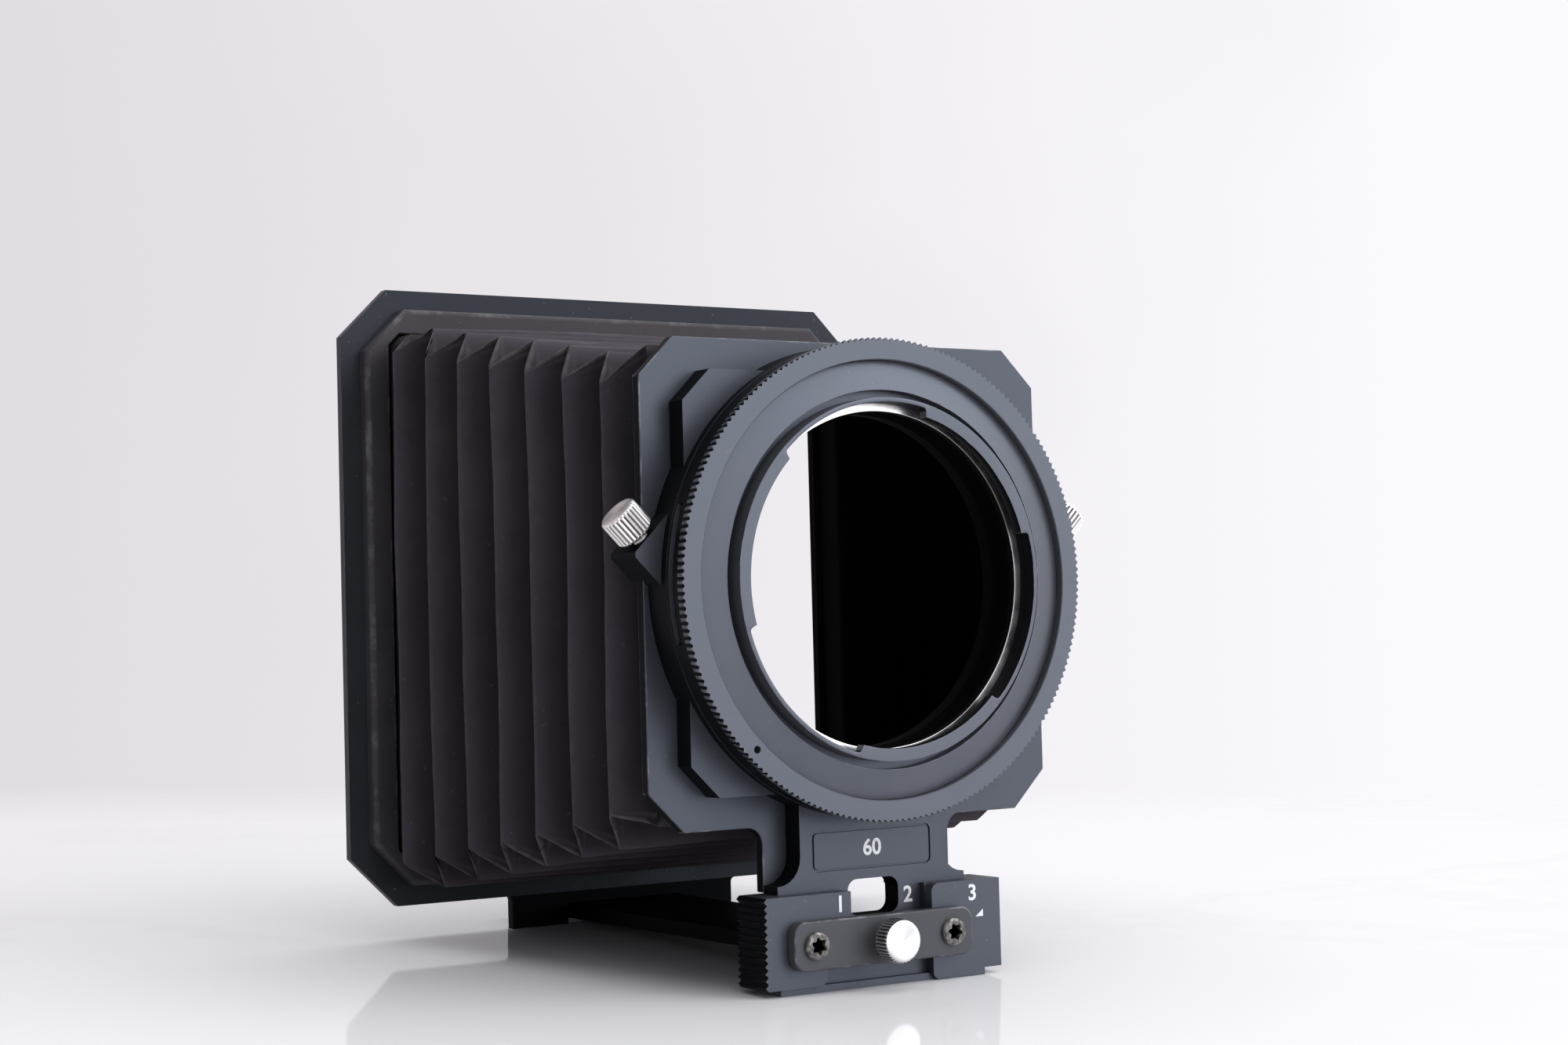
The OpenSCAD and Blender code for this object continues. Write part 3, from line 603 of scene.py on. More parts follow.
def turned(bm, points, steps=192, closed=True, near=NEAR):
    """Spins a profile of radius and Y about the Y axis."""
    verts = [bm.verts.new((r, y, 0)) for r, y in points]
    ends = verts[1:] + verts[:1] if closed else verts[1:]
    edges = [bm.edges.new(pair) for pair in zip(verts, ends)]
    bmesh.ops.spin(
        bm, geom=verts + edges, cent=(0, 0, 0), axis=(0, 1, 0),
        angle=2 * pi, steps=steps, use_merge=True,
    )
    bmesh.ops.remove_doubles(bm, verts=bm.verts, dist=near)
    outward(bm)


def quarter_of(point, turn):
    """Which quarter of a tooth a point stands at, from 0 at its crest to 2 in its gap."""
    return round(atan2(point.z, point.x) % (2 * pi) / turn) % 4


def join(bm, other):
    """Adds another mesh to this one."""
    mesh = bpy.data.meshes.new("part")
    other.to_mesh(mesh)
    other.free()
    bm.from_mesh(mesh)
    bpy.data.meshes.remove(mesh)


def shown(name, data):
    """A new object in the scene."""
    made = bpy.data.objects.new(name, data)
    bpy.context.scene.collection.objects.link(made)
    return made


def piece(bm, name, body, material, slot=None, node=None, coats=(), smooth=38.0, flats=True):
    """Makes an object in metres from a mesh in millimetres and ties it to its body."""
    bmesh.ops.scale(bm, vec=(MM, MM, MM), verts=bm.verts)
    mesh = bpy.data.meshes.new(name)
    bm.to_mesh(mesh)
    bm.free()
    mesh.polygons.foreach_set("use_smooth", [True] * len(mesh.polygons))
    mesh.set_sharp_from_angle(angle=radians(smooth))
    made = shown(name, mesh)
    for coat in (material, *map(finish, coats)):
        mesh.materials.append(coat)
    if flats:
        made.modifiers.new("flat faces", "WEIGHTED_NORMAL").keep_sharp = True
    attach(made, body)
    if node:
        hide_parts(node)
    return made


def stand_in(bm, node, body, slot, material=None, **looks):
    """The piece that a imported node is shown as."""
    return piece(bm, f"{node}_piece", body, material or finish(slot), slot, node, **looks)


def eased_node(node, body, slot, width, material=None, coats=()):
    """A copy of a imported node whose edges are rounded."""
    bm = bmesh.new()
    bm.from_mesh(frame["nodes"][node].data)
    bmesh.ops.scale(bm, vec=(1 / MM, 1 / MM, 1 / MM), verts=bm.verts)
    tidy(bm)
    ease(bm, width)
    return stand_in(bm, node, body, slot, material, coats=coats)


def darken(made, reach, walls=False):
    """Dead black on the faces that look at the optical axis, and painted shade on the walls.

    The piece has the coats bellows_lining and painted_shade_black.
    """
    for face in made.data.polygons:
        centre, normal = face.center / MM, face.normal
        inward = normal.x * centre.x + normal.z * centre.z < -0.3 * from_axis(centre)
        if inward and max(abs(centre.x), abs(centre.z)) < reach:
            face.material_index = 1
        # painted shade: the side walls get the near-black shade coat
        elif walls and abs(normal.y) < 0.3:
            face.material_index = 2


# Coats of the dead black inner faces and of the painted shade on walls
DARK_COATS = ("bellows_lining", "painted_shade_black")


# Lens ring


class HOOD_OT_lens_rings(bpy.types.Operator):
    """Grip ring, hub and bayonet ring"""

    bl_idname = "hood.lens_rings"
    bl_label = "Lens rings"

    def execute(self, context):
        self.grip_ring()
        self.hub()
        self.bayonet()
        return {"FINISHED"}

    def grip_ring(self):
        """Knurled ring with a plain band in front of its teeth and an arc slot in the band."""
        teeth, depth = sizes().knurl_teeth, sizes().knurl_depth
        root, rim = RING_R - depth, RING_R - 4.0
        band, flat = root - 0.1, rim + 1.7
        y0, y1 = RIM_Y, RIM_Y + 2.6
        slot_low, slot_high = y1 + 1.15, y1 + 2.95
        slot_start, slot_end, slot_depth = radians(161.2), radians(194.2), 0.9
        bm = bmesh.new()
        turned(bm, [
            (rim + 0.15, y0), (flat, y0), (root - 0.2, y0), (RING_R - 0.07, y0),
            (RING_R, y0 + 0.1), (RING_R - 0.12, y0 + 0.8), (RING_R - 0.36, y0 + 1.7),
            (root, y1 - 0.12), (band, y1), (band, y1 + 0.25), (band, slot_low),
            (band, slot_low + 0.06), (band, slot_high - 0.06), (band, slot_high),
            (band, RING_FRONT - 0.25), (band - 0.25, RING_FRONT), (rim, RING_FRONT),
            (rim, y0 + 0.15),
        ], steps=4 * teeth)
        wear = face_layer(bm, "wear")
        turn = 2 * pi / (4 * teeth)
        for v in bm.verts:
            radius, y = from_axis(v.co), v.co.y
            angle = atan2(v.co.z, v.co.x) % (2 * pi)
            in_slot = slot_low + 0.02 < y < slot_high - 0.02 and slot_start < angle < slot_end
            if y < y1 - 0.1 and radius > root + 0.01:
                sunk = (radius - root) * (0.0, 0.55, 1.0, 0.55)[quarter_of(v.co, turn)]
            else:
                sunk = slot_depth if in_slot and radius > band - 0.1 else 0.0
            draw_in(v, 1 - sunk / radius)
        outward(bm)
        for f in bm.faces:
            middle = f.calc_center_median()
            radius = from_axis(middle)
            f[wear] = float(y0 + 0.02 < middle.y < y1 and radius > root + 0.3)
            # painted shade: the knurl gaps and the plain band in front of the teeth get the
            # near-black shade coat
            gap = 1.0 < atan2(middle.z, middle.x) / turn % 4 < 3.0
            outside = radius > band - 1.0 and abs(f.normal.y) < 0.7
            f.material_index = int(outside and (gap or middle.y > y1))
        self.pin_hole(bm, y0, flat)
        stand_in(bm, "grip_ring", "turning_ring", "ring_black", coats=["painted_shade_black"], smooth=30)

    def pin_hole(self, bm, y, radius):
        """Opens a small blind hole in the flat rear face."""
        angle = radians(-135)
        hole_radius, patch_radius, depth = 0.68, 1.3, 2.0
        centre = Vector((radius * cos(angle), y, radius * sin(angle)))
        near = [
            f for f in bm.faces
            if abs(f.normal.y) > 0.99 and f.calc_center_median().y < y + 0.02
            and (f.calc_center_median() - centre).length < patch_radius
        ]
        patch = set(near)
        rim = [e for e in bm.edges if sum(f in patch for f in e.link_faces) == 1]
        bmesh.ops.delete(bm, geom=near, context="FACES")
        hole = ring_of(bm, hole_radius, y, centre.x, centre.z, 28)
        fill(bm, [e for e in rim if e.is_valid] + hole)
        deep, _, _ = pull(bm, hole, (0, depth, 0))
        bmesh.ops.contextual_create(bm, geom=deep)
        outward(bm)

    def hub(self):
        """Hub with its flat face, the channel and the bright shoulder inside the bayonet ring."""
        rim, tube, channel, bore = RING_R - 4.02, 36.0, 34.6, 30.0
        relief, face, shoulder, inside = 31.6, 33.6, 31.45, 32.0
        front, channel_front, channel_rear = 1.4, 1.05, -2.55
        relief_front, relief_rear = -1.4, SHOULDER_Y + 1.6
        bm = bmesh.new()
        turned(bm, [
            (rim, RIM_Y + 1.5), (rim, RING_FRONT), (tube, RING_FRONT), (tube, channel_rear),
            (channel, channel_rear), (channel, channel_front), (tube, channel_front),
            (tube, front), (bore, front), (bore, relief_front), (relief, relief_front),
            (relief, relief_rear), (bore, relief_rear), (bore, SHOULDER_Y),
            (shoulder, SHOULDER_Y), (face, SHOULDER_Y), (face, RIM_Y + 0.45),
        ], steps=256)
        ease(bm, 0.14)
        for f in bm.faces:
            middle = f.calc_center_median()
            if from_axis(middle) < inside:
                f.material_index = 1 if middle.y < SHOULDER_Y + 0.12 else 2
        stand_in(
            bm, "lens_ring", "turning_ring", "ring_black", coats=["bare_metal", "bellows_lining"]
        )

    def bayonet(self):
        """Short tube on the shoulder, with three lugs at its rear end."""
        outer, tip, notch = BAYONET_R, BAYONET_R - 2.3, BAYONET_R - 0.8
        lug, lug_turn, half_gap, flank = 2.0, 345, 29.0, 1.4
        bm = bmesh.new()
        edges = ring_of(bm, outer, BAYONET_Y, segments=720)
        inner = ring_of(bm, notch, BAYONET_Y, segments=720)
        for v in {v for e in inner for v in e.verts}:
            angle = degrees(atan2(v.co.z, v.co.x))
            off = abs((angle - lug_turn + 60) % 120 - 60)
            share = max(0.0, min(1.0, (off - half_gap) / flank))
            draw_in(v, (notch + (tip - notch) * (1 - sqrt(1 - share * share))) / notch)
        thicken(bm, bmesh.ops.bridge_loops(bm, edges=edges + inner)["faces"], lug)
        bmesh.ops.remove_doubles(bm, verts=bm.verts, dist=NEAR)
        outward(bm)
        ease(bm, 0.12)
        tube, side, y = bmesh.new(), outer - 0.01, BAYONET_Y + lug - 0.2
        turned(tube, [(notch, y), (side, y), (side, SHOULDER_Y), (notch, SHOULDER_Y)], 256)
        join(bm, tube)
        # painted shade: faces turned to the axis get the near-black shade coat
        for f in bm.faces:
            middle = f.calc_center_median()
            f.material_index = int(f.normal.x * middle.x + f.normal.z * middle.z < -0.5 * outer)
        stand_in(bm, "bayonet_ring", "turning_ring", "ring_black", coats=["painted_shade_black"])


# Rear standard


class HOOD_OT_rear_standard(bpy.types.Operator):
    """Ring seat with its lugs, neck and foot, and the rear plate"""

    bl_idname = "hood.rear_standard"
    bl_label = "Rear standard"

    def execute(self, context):
        self.ring_seat()
        self.rear_plate()
        return {"FINISHED"}

    def ring_seat(self):
        """Eight-sided layer with the round boss, the side lugs and the neck."""
        bore, boss, half, corner = 36.05, RING_R - 0.7, PLATE_HALF - 6.0, 5.6
        lug_flat, inner, cheek = 0.45, 40.0, PLATE_HALF + 0.1
        bm = bmesh.new()
        layer = flat_line(bm, cut_square(half, corner), SEAT_Y)
        slab(bm, layer + ring_of(bm, bore, SEAT_Y), PLATE_Y - SEAT_Y)
        disc = bmesh.new()
        turned(disc, [(bore, BOSS_Y), (boss, BOSS_Y), (boss, PLATE_Y), (bore, PLATE_Y)])
        join(bm, disc)
        for side in (-1, 1):
            for root, y, front in ((inner, SEAT_Y, PLATE_Y), (cheek, PLATE_Y, LUG_FRONT)):
                wedge = [
                    (side * (LUG_APEX - lug_flat), LUG_Z + lug_flat),
                    (side * (LUG_APEX - lug_flat), LUG_Z - lug_flat),
                    (side * root, LUG_Z - LUG_APEX + root),
                    (side * root, LUG_Z + LUG_APEX - root),
                ]
                slab(bm, flat_line(bm, wedge, y), front - y)
        self.neck(bm)
        tidy(bm)
        ease(bm, sizes().edge)
        made = stand_in(bm, "ring_seat", "rear_standard", "body_black", coats=DARK_COATS)
        darken(made, bore + 0.5, True)

    def neck(self, bm):
        """Neck, foot and tenon with the window and the outlined panel."""
        neck, top, fillet, ledge = 15.4, -36.5, 4.85, BASE_TOP + 1.4
        window, window_top, lift = 5.5, BASE_TOP + 1.6, BASE_TOP + 0.05
        panel, panel_half, layer = 12.9, 3.6, 4.0
        window_h, window_corner, panel_corner = 6.4, 2.0, 1.2
        outer = flat_line(bm, [
            (neck, top), (-neck, top), (-neck, ledge), (-FOOT, ledge),
            (-FOOT, TENON_BOTTOM), (FOOT, TENON_BOTTOM), (FOOT, ledge), (neck, ledge),
        ], SEAT_Y, fillet, (2, 7))
        hole = rectangle(-window, window, window_top - window_h, window_top)
        walls = outer + flat_line(bm, hole, SEAT_Y, window_corner)
        border = rectangle(-panel, panel, PANEL_Z - panel_half, PANEL_Z + panel_half)
        border = flat_line(bm, border, SEAT_Y, panel_corner)
        back = fill(bm, walls + border)
        plate = bmesh.ops.contextual_create(bm, geom=border)["faces"]
        bmesh.ops.recalc_face_normals(bm, faces=plate + back)
        if plate[0].normal.y > 0:
            bmesh.ops.reverse_faces(bm, faces=plate + back)
        for thickness, depth in ((0.05, -0.28), (0.34, 0.0), (0.05, 0.28)):
            bmesh.ops.inset_region(
                bm, faces=plate, thickness=thickness, depth=depth, use_even_offset=True
            )
        _, far, _ = pull(bm, walls, (0, layer + 0.1, 0))
        fill(bm, far, 1)
        back = flat_line(bm, [
            (neck, top), (-neck, top), (-neck, ledge), (-FOOT, ledge), (-FOOT, lift),
            (-window, lift), (-window, window_top), (window, window_top), (window, lift),
            (FOOT, lift), (FOOT, ledge), (neck, ledge),
        ], SEAT_Y + layer, fillet, (2, 11))
        slab(bm, back, PLATE_Y - SEAT_Y - layer)

    def rear_plate(self):
        """Thin plate behind the ring seat, with a wider neck."""
        half, bore, notch_half, fillet = PLATE_HALF, 36.4, 11.0, 3.0
        bottom, notch, c = BASE_TOP + 0.1, BASE_TOP + 3.6, PLATE_HALF - 7.0
        bm = bmesh.new()
        edges = flat_line(bm, [
            (half, c), (c, half), (-c, half), (-half, c), (-half, -c), (-c, -half),
            (-FOOT, -half), (-FOOT, bottom), (-notch_half, bottom), (-notch_half, notch),
            (notch_half, notch), (notch_half, bottom), (FOOT, bottom), (FOOT, -half),
            (c, -half), (half, -c),
        ], PLATE_Y, fillet, (6, 13))
        slab(bm, edges + ring_of(bm, bore, PLATE_Y), PLATE_FRONT - PLATE_Y)
        tidy(bm)
        ease(bm, sizes().edge)
        made = stand_in(bm, "rear_plate", "rear_standard", "body_black", coats=DARK_COATS)
        darken(made, bore + 0.6, True)


# Bellows

# Steps across one face of a ring: soft cloth at each end, a stiff board between
SOFT, BOARD = 6, 24
FACE = 2 * SOFT + BOARD + 1


class HOOD_OT_bellows(bpy.types.Operator):
    """Pleated cloth between the two standards"""

    bl_idname = "hood.bellows"
    bl_label = "Bellows"

    def execute(self, context):
        s = sizes()
        length = FRAME_Y - PLATE_FRONT
        keep = (length - TRAVEL) / length
        folded_rear, folded_front = 1.7, 3.2
        rear_collar, front_collar = folded_rear / keep, folded_front / keep
        self.start, self.end = PLATE_FRONT + rear_collar, FRAME_Y - front_collar
        self.steps = 2 * s.pleats
        self.half_pleat = (self.end - self.start) / self.steps
        self.rear, self.front = PLATE_HALF - 5.2, FRAME_HALF - 9.6
        self.depth, self.sag = s.fold_depth, s.sag
        bm = bmesh.new()
        self.rings(bm)
        self.shape(bm)
        made = piece(
            bm, "bellows_cloth_piece", "rear_standard", finish("bellows_cloth"), "bellows_cloth",
            "bellows", coats=["bellows_lining"], smooth=62, flats=False,
        )
        wall = made.modifiers.new("cloth", "SOLIDIFY")
        wall.thickness = s.cloth_t * MM
        wall.offset = -1.0
        wall.material_offset = 1
        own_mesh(made)
        return {"FINISHED"}

    def levels(self):
        """Rings along Y: place, half width at the sides, half height at top and bottom, cut."""
        rear, front, lip, line, collar_cut = self.rear, self.front, 4.3, 0.4, 2.0
        made = [
            (PLATE_FRONT, rear, rear, collar_cut), (self.start - 0.3, rear, rear, collar_cut),
            (self.start, rear, rear + lip, line),
        ]
        for step in range(1, self.steps):
            y = self.start + step * self.half_pleat
            valley = rear + (front - rear) * step / self.steps
            flat = valley - 1.0
            if step % 2:
                made.append((y, valley + self.depth, flat, line))
            else:
                made.append((y, valley, flat + self.depth, line))
        return made + [(y, front, front, collar_cut) for y in (self.end, FRAME_Y)]

    def outline(self, side, top, cut):
        """Points of one ring; each face runs over soft cloth, a stiff board and soft cloth."""
        board = min(side, top) - cut - 0.25
        made = []
        for turn, (half, reach) in enumerate(((side, top - cut), (top, side - cut)) * 2):
            runs = ((-reach, -board, SOFT), (-board, board, BOARD), (board, reach, SOFT))
            along = [a + (b - a) * i / n for a, b, n in runs for i in range(n)] + [reach]
            quarter = Matrix.Rotation(turn * pi / 2, 2)
            made += [tuple(quarter @ Vector((half, t))) for t in along]
        return made

    def rings(self, bm):
        """Pulls the first ring out to the front, ring by ring, and cuts the panels between."""
        levels = self.levels()
        column = bm.verts.layers.float.new("column")
        verts, edges = loop_of(bm, self.outline(*levels[0][1:]), levels[0][0])
        for i, v in enumerate(verts):
            v[column] = i
        for y, *ring in levels[1:]:
            verts, edges, _ = pull(bm, edges)
            points = self.outline(*ring)
            for v in verts:
                x, z = points[round(v[column])]
                v.co = (x, y, z)
        along = [e for e in bm.edges if abs(e.verts[0].co.y - e.verts[1].co.y) > 1.0]
        bmesh.ops.subdivide_edges(bm, edges=along, cuts=7, use_grid_fill=True)

    def shape(self, bm):
        """Softens the ridges, crumples the corners, lets the cloth sag and notes the folds."""
        column = bm.verts.layers.float["column"]
        fold = bm.verts.layers.float.new("fold")
        crease = bm.verts.layers.float.new("crease")
        cloth = bm.loops.layers.uv.new("cloth")
        outward(bm)
        bm.normal_update()
        moves = {}
        for v in bm.verts:
            x, y, z = v.co
            side, place = divmod(round(v[column]), FACE)
            soft = max(0, SOFT - place, place - SOFT - BOARD) / SOFT
            step = (y - self.start) / self.half_pleat
            share = 0.0
            if -0.01 < step < self.steps - 0.5:
                share = abs((step + 1) % 2 - 1)
                share = share if side % 2 == 0 else 1 - share
            # the fold share drives the painted highlight on the ridges and the painted shade in the
            # valleys
            v[fold] = share
            ridge = max(0.0, 1.0 - (1.0 - share) / 0.13)
            corner = place in (0, FACE - 1) and 0.2 < step < self.steps - 0.2
            thin = 0.5 * (1.0 - share) if place in (2, FACE - 3) else 0.0
            v[crease] = max(0.45 * ridge, float(corner), thin)
            free = self.held(step - 0.02) * self.held(self.steps - step)
            loose = sin(pi * soft) * (1.0 - share)
            slow = noise.noise((x * 0.035, y * 0.05, z * 0.035)) * 0.5
            quick = noise.noise((x * 0.2 + 9.0, y * 0.26, z * 0.2)) * (0.1 + 0.5 * loose)
            tiny = noise.noise((x * 0.6, y * 0.7 + 5.0, z * 0.6)) * (0.02 + 0.3 * loose)
            dent = 0.32 * ridge + 0.1 * loose
            drop = self.sag * self.ramp(y - self.start) * self.ramp(self.end - y)
            moves[v] = v.normal * free * (slow + quick + tiny - dent) - Vector((0, 0, drop))
        for face in bm.faces:
            upright = round(face.verts[0][column]) // FACE % 2 == 0
            for corner in face.loops:
                p = corner.vert.co
                corner[cloth].uv = (p.z if upright else p.x, p.y * 1.5)
        for v, move in moves.items():
            v.co += move

    def held(self, steps):
        """Rises from 0 at a collar to 1 where the cloth is free."""
        return min(1.0, max(0.0, steps / 0.6))

    def ramp(self, distance):
        """Rises smoothly from 0 to 1 over the first stretch of cloth."""
        share = max(0.0, min(1.0, distance / 6.0))
        return share * share * (3 - 2 * share)


# Knobs

# Radius of the threaded shanks, and the distance under which points of a small spin are one
SHANK_R = 1.49
SPUN_NEAR = 0.003


def knurled_head(radius, length, teeth, depth, chamfer, dish):
    """Knurled head about Y from 0 to length, with eased ends and a dished face at Y 0."""
    bm = bmesh.new()
    turned(bm, [
        (0.001, dish), (radius * 0.3, dish * 0.8), (radius * 0.72, dish * 0.12),
        (radius - chamfer - 0.12, 0.0), (radius - chamfer * 0.75, 0.06), (radius, chamfer),
        (radius, chamfer + 0.05), (radius, length - chamfer - 0.05), (radius, length - chamfer),
        (radius - chamfer, length), (0.001, length),
    ], 4 * teeth, False, SPUN_NEAR)
    wear, recess_shade, end = (face_layer(bm, name) for name in ("wear", "recess_shade", "face"))
    turn = 2 * pi / (4 * teeth)
    for v in bm.verts:
        around = from_axis(v.co)
        if around >= radius - 0.05:
            sunk = (0.0, 0.35, 1.0, 0.35)[quarter_of(v.co, turn)] * depth
            draw_in(v, 1 - sunk / around)
    outward(bm)
    for f in bm.faces:
        m = f.calc_center_median()
        around = from_axis(m)
        f[wear] = float(around > radius - depth * 0.3)
        # painted shade mask: faces between the knurl teeth
        f[recess_shade] = float(chamfer < m.y < length - chamfer and around < radius - depth * 0.5)
        f[end] = float(m.y < max(0.04, dish) and around < radius - chamfer)
    return bm


def thread(y0, y1, pitch=0.5, depth=0.27):
    """Round shank about Y with close thread ridges."""
    turns = max(2, int((y1 - y0) / pitch))
    points = [(0.001, y0), (SHANK_R - depth, y0)]
    for i in range(turns):
        y = y0 + (y1 - y0) * (i + 0.5) / turns
        points += [(SHANK_R, y), (SHANK_R - depth, y + 0.5 * (y1 - y0) / turns)]
    bm = bmesh.new()
    turned(bm, [*points, (0.001, y1)], 32, False, SPUN_NEAR)
    return bm


class HOOD_OT_thumb_screws(bpy.types.Operator):
    """Silver thumb knobs and their threaded shanks"""

    bl_idname = "hood.thumb_screws"
    bl_label = "Thumb screws"

    def execute(self, context):
        radius, length, teeth, face_colour = 3.6, 5.3, 26, (0.75, 0.7, 0.68)
        face = (LUG_APEX + LUG_Z) / sqrt(2)
        foot = ((LUG_APEX - LUG_Z) / sqrt(2) - 4.0) / sqrt(2)
        y, gap = SEAT_Y + (PLATE_Y - SEAT_Y) / 2, 1.2
        for side, word in ((-1, "left"), (1, "right")):
            outward = Vector((side, 0, 1)).normalized()
            start = Vector((side * foot, y, -foot))
            turn = Vector((0, -1, 0)).rotation_difference(outward).to_matrix().to_4x4()
            metal = turned_metal(
                f"{word}_thumb_silver", tuple(colours().silver), face_colour,
                (start + outward * (face + 4.0)) * MM, outward.to_track_quat("Z", "Y").to_euler(),
            )
            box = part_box(f"{word}_thumb_shank")
            reach = (box[1] - box[0]).z / MM * sqrt(2) - 3.0
            knob = knurled_head(radius, length, teeth, depth=0.36, chamfer=0.42, dish=0.05)
            for name, bm, rise in (
                ("knob", knob, gap + length), ("shank", thread(0.0, reach), gap + 2.6),
            ):
                bm.transform(Matrix.Translation(start + outward * (face + rise)) @ turn)
                stand_in(bm, f"{word}_thumb_{name}", f"{word}_thumb_screw", "silver", metal)
        return {"FINISHED"}


class HOOD_OT_lock_screw(bpy.types.Operator):
    """Silver lock knob and its threaded shank"""

    bl_idname = "hood.lock_screw"
    bl_label = "Lock screw"

    def execute(self, context):
        radius, length, teeth, face_colour = 3.9, 3.5, 36, (0.74, 0.738, 0.735)
        low_y = low("lock_knob", "y")
        x, z = ((low("lock_knob", axis) + high("lock_knob", axis)) / 2 for axis in "xz")
        bore, collar_r, y0, y1 = 1.55, 2.2, 3.4, 5.3
        knob = knurled_head(radius, length, teeth, depth=0.4, chamfer=0.38, dish=0.1)
        collar = bmesh.new()
        turned(collar, [(bore, y0), (collar_r, y0), (collar_r, y1), (bore, y1)], 48)
        join(knob, collar)
        knob.transform(Matrix.Translation((x, low_y, z)))
        metal = turned_metal(
            "lock_silver", tuple(colours().silver), face_colour, Vector((x, low_y, z)) * MM,
            (radians(90), 0, 0),
        )
        stand_in(knob, "lock_knob", "lock_screw", "silver", metal)
        shank = thread(low("lock_shank", "y"), high("lock_shank", "y"))
        shank.transform(Matrix.Translation((x, 0, z)))
        stand_in(shank, "lock_shank", "lock_screw", "silver", metal)
        return {"FINISHED"}


# Base and rail


class HOOD_OT_base(bpy.types.Operator):
    """Base block, keel plate and rail"""

    bl_idname = "hood.base"
    bl_label = "Base"

    def execute(self, context):
        ribs = 1.0 - BASE_HALF
        made = eased_node("base_block", "rear_standard", "body_black", 0.16, coats=["painted_shade_black"])
        # painted shade: the rib faces at the left end get the near-black shade coat
        for face in made.data.polygons:
            face.material_index = int(face.center.x / MM < ribs and abs(face.normal.y) < 0.5)
        eased_node("keel_plate", "rear_standard", "body_black", 0.15)
        # painted shade: the rail under the bellows takes the near-black shade finish
        eased_node("rail", "rear_standard", "body_black", 0.3, finish("painted_shade_black"))
        return {"FINISHED"}


def lobed_head(radius, height, recess, depth):
    """Pan head about Y, its top at Y 0, with a six-lobe recess."""
    segments, lobe = 48, 0.16
    bm = bmesh.new()
    wear, recess_shade = face_layer(bm, "wear"), face_layer(bm, "recess_shade")
    rim = ring_of(bm, radius - 0.55, 0.0, segments=segments)
    star = ring_of(bm, recess, 0.0, segments=segments)
    for v in {v for e in star for v in e.verts}:
        draw_in(v, 1 - lobe + lobe * cos(6 * atan2(v.co.z, v.co.x)))
    bmesh.ops.bridge_loops(bm, edges=rim + star)
    deep, _, sunk = pull(bm, star, (0, depth, 0))
    sunk += bmesh.ops.contextual_create(bm, geom=deep)["faces"]
    ring = rim
    for size, y in ((radius - 0.18, 0.14), (radius, 0.42), (radius, height), (0.4, height)):
        verts, ring, _ = pull(bm, ring)
        for v in verts:
            flat = Vector((v.co.x, 0, v.co.z)).normalized() * size
            v.co = (flat.x, y, flat.z)
    bmesh.ops.contextual_create(bm, geom=verts)
    for f in bm.faces:
        middle = f.calc_center_median()
        f[wear] = 1.0 if 0.01 < middle.y < 0.42 and from_axis(middle) > radius - 0.6 else 0.5
    # painted shade mask: the faces of the recess
    for f in sunk:
        f[recess_shade], f[wear] = 1.0, 0.0
    outward(bm)
    return bm


class HOOD_OT_keeper(bpy.types.Operator):
    """Keeper strap and its two screws"""

    bl_idname = "hood.keeper"
    bl_label = "Keeper strap"

    def execute(self, context):
        x0, x1 = low("keeper_strap", "x"), high("keeper_strap", "x")
        z0, z1 = low("keeper_strap", "z"), high("keeper_strap", "z")
        corner, inset = 2.4, 4.5
        bm = bmesh.new()
        edges = flat_line(bm, rectangle(x0, x1, z0, z1), STRAP_REAR, corner, segments=8)
        slab(bm, edges, BASE_REAR - STRAP_REAR)
        tidy(bm)
        ease(bm, 0.3, 3)
        stand_in(bm, "keeper_strap", "rear_standard", "body_black", finish("strap_black"))
        middle, z = (x0 + x1) / 2, (z0 + z1) / 2
        pitch = (x1 - x0 - 2 * inset) / 2
        top = low("strap_screws", "y")
        neck, stem_r, end = STRAP_REAR - top, 1.15, 6.0
        screws = bmesh.new()
        for side, turn in ((-1, 0.4), (1, 0.15)):
            head = lobed_head(radius=2.5, height=neck, recess=1.6, depth=1.1)
            stem = bmesh.new()
            turned(stem, [(0.05, neck), (stem_r, neck), (stem_r, end), (0.05, end)], 24)
            join(head, stem)
            place = Matrix.Translation((middle + side * pitch, top, z))
            head.transform(place @ Matrix.Rotation(turn, 4, "Y"))
            join(screws, head)
        stand_in(screws, "strap_screws", "rear_standard", "black_screw")
        return {"FINISHED"}


# Front standard


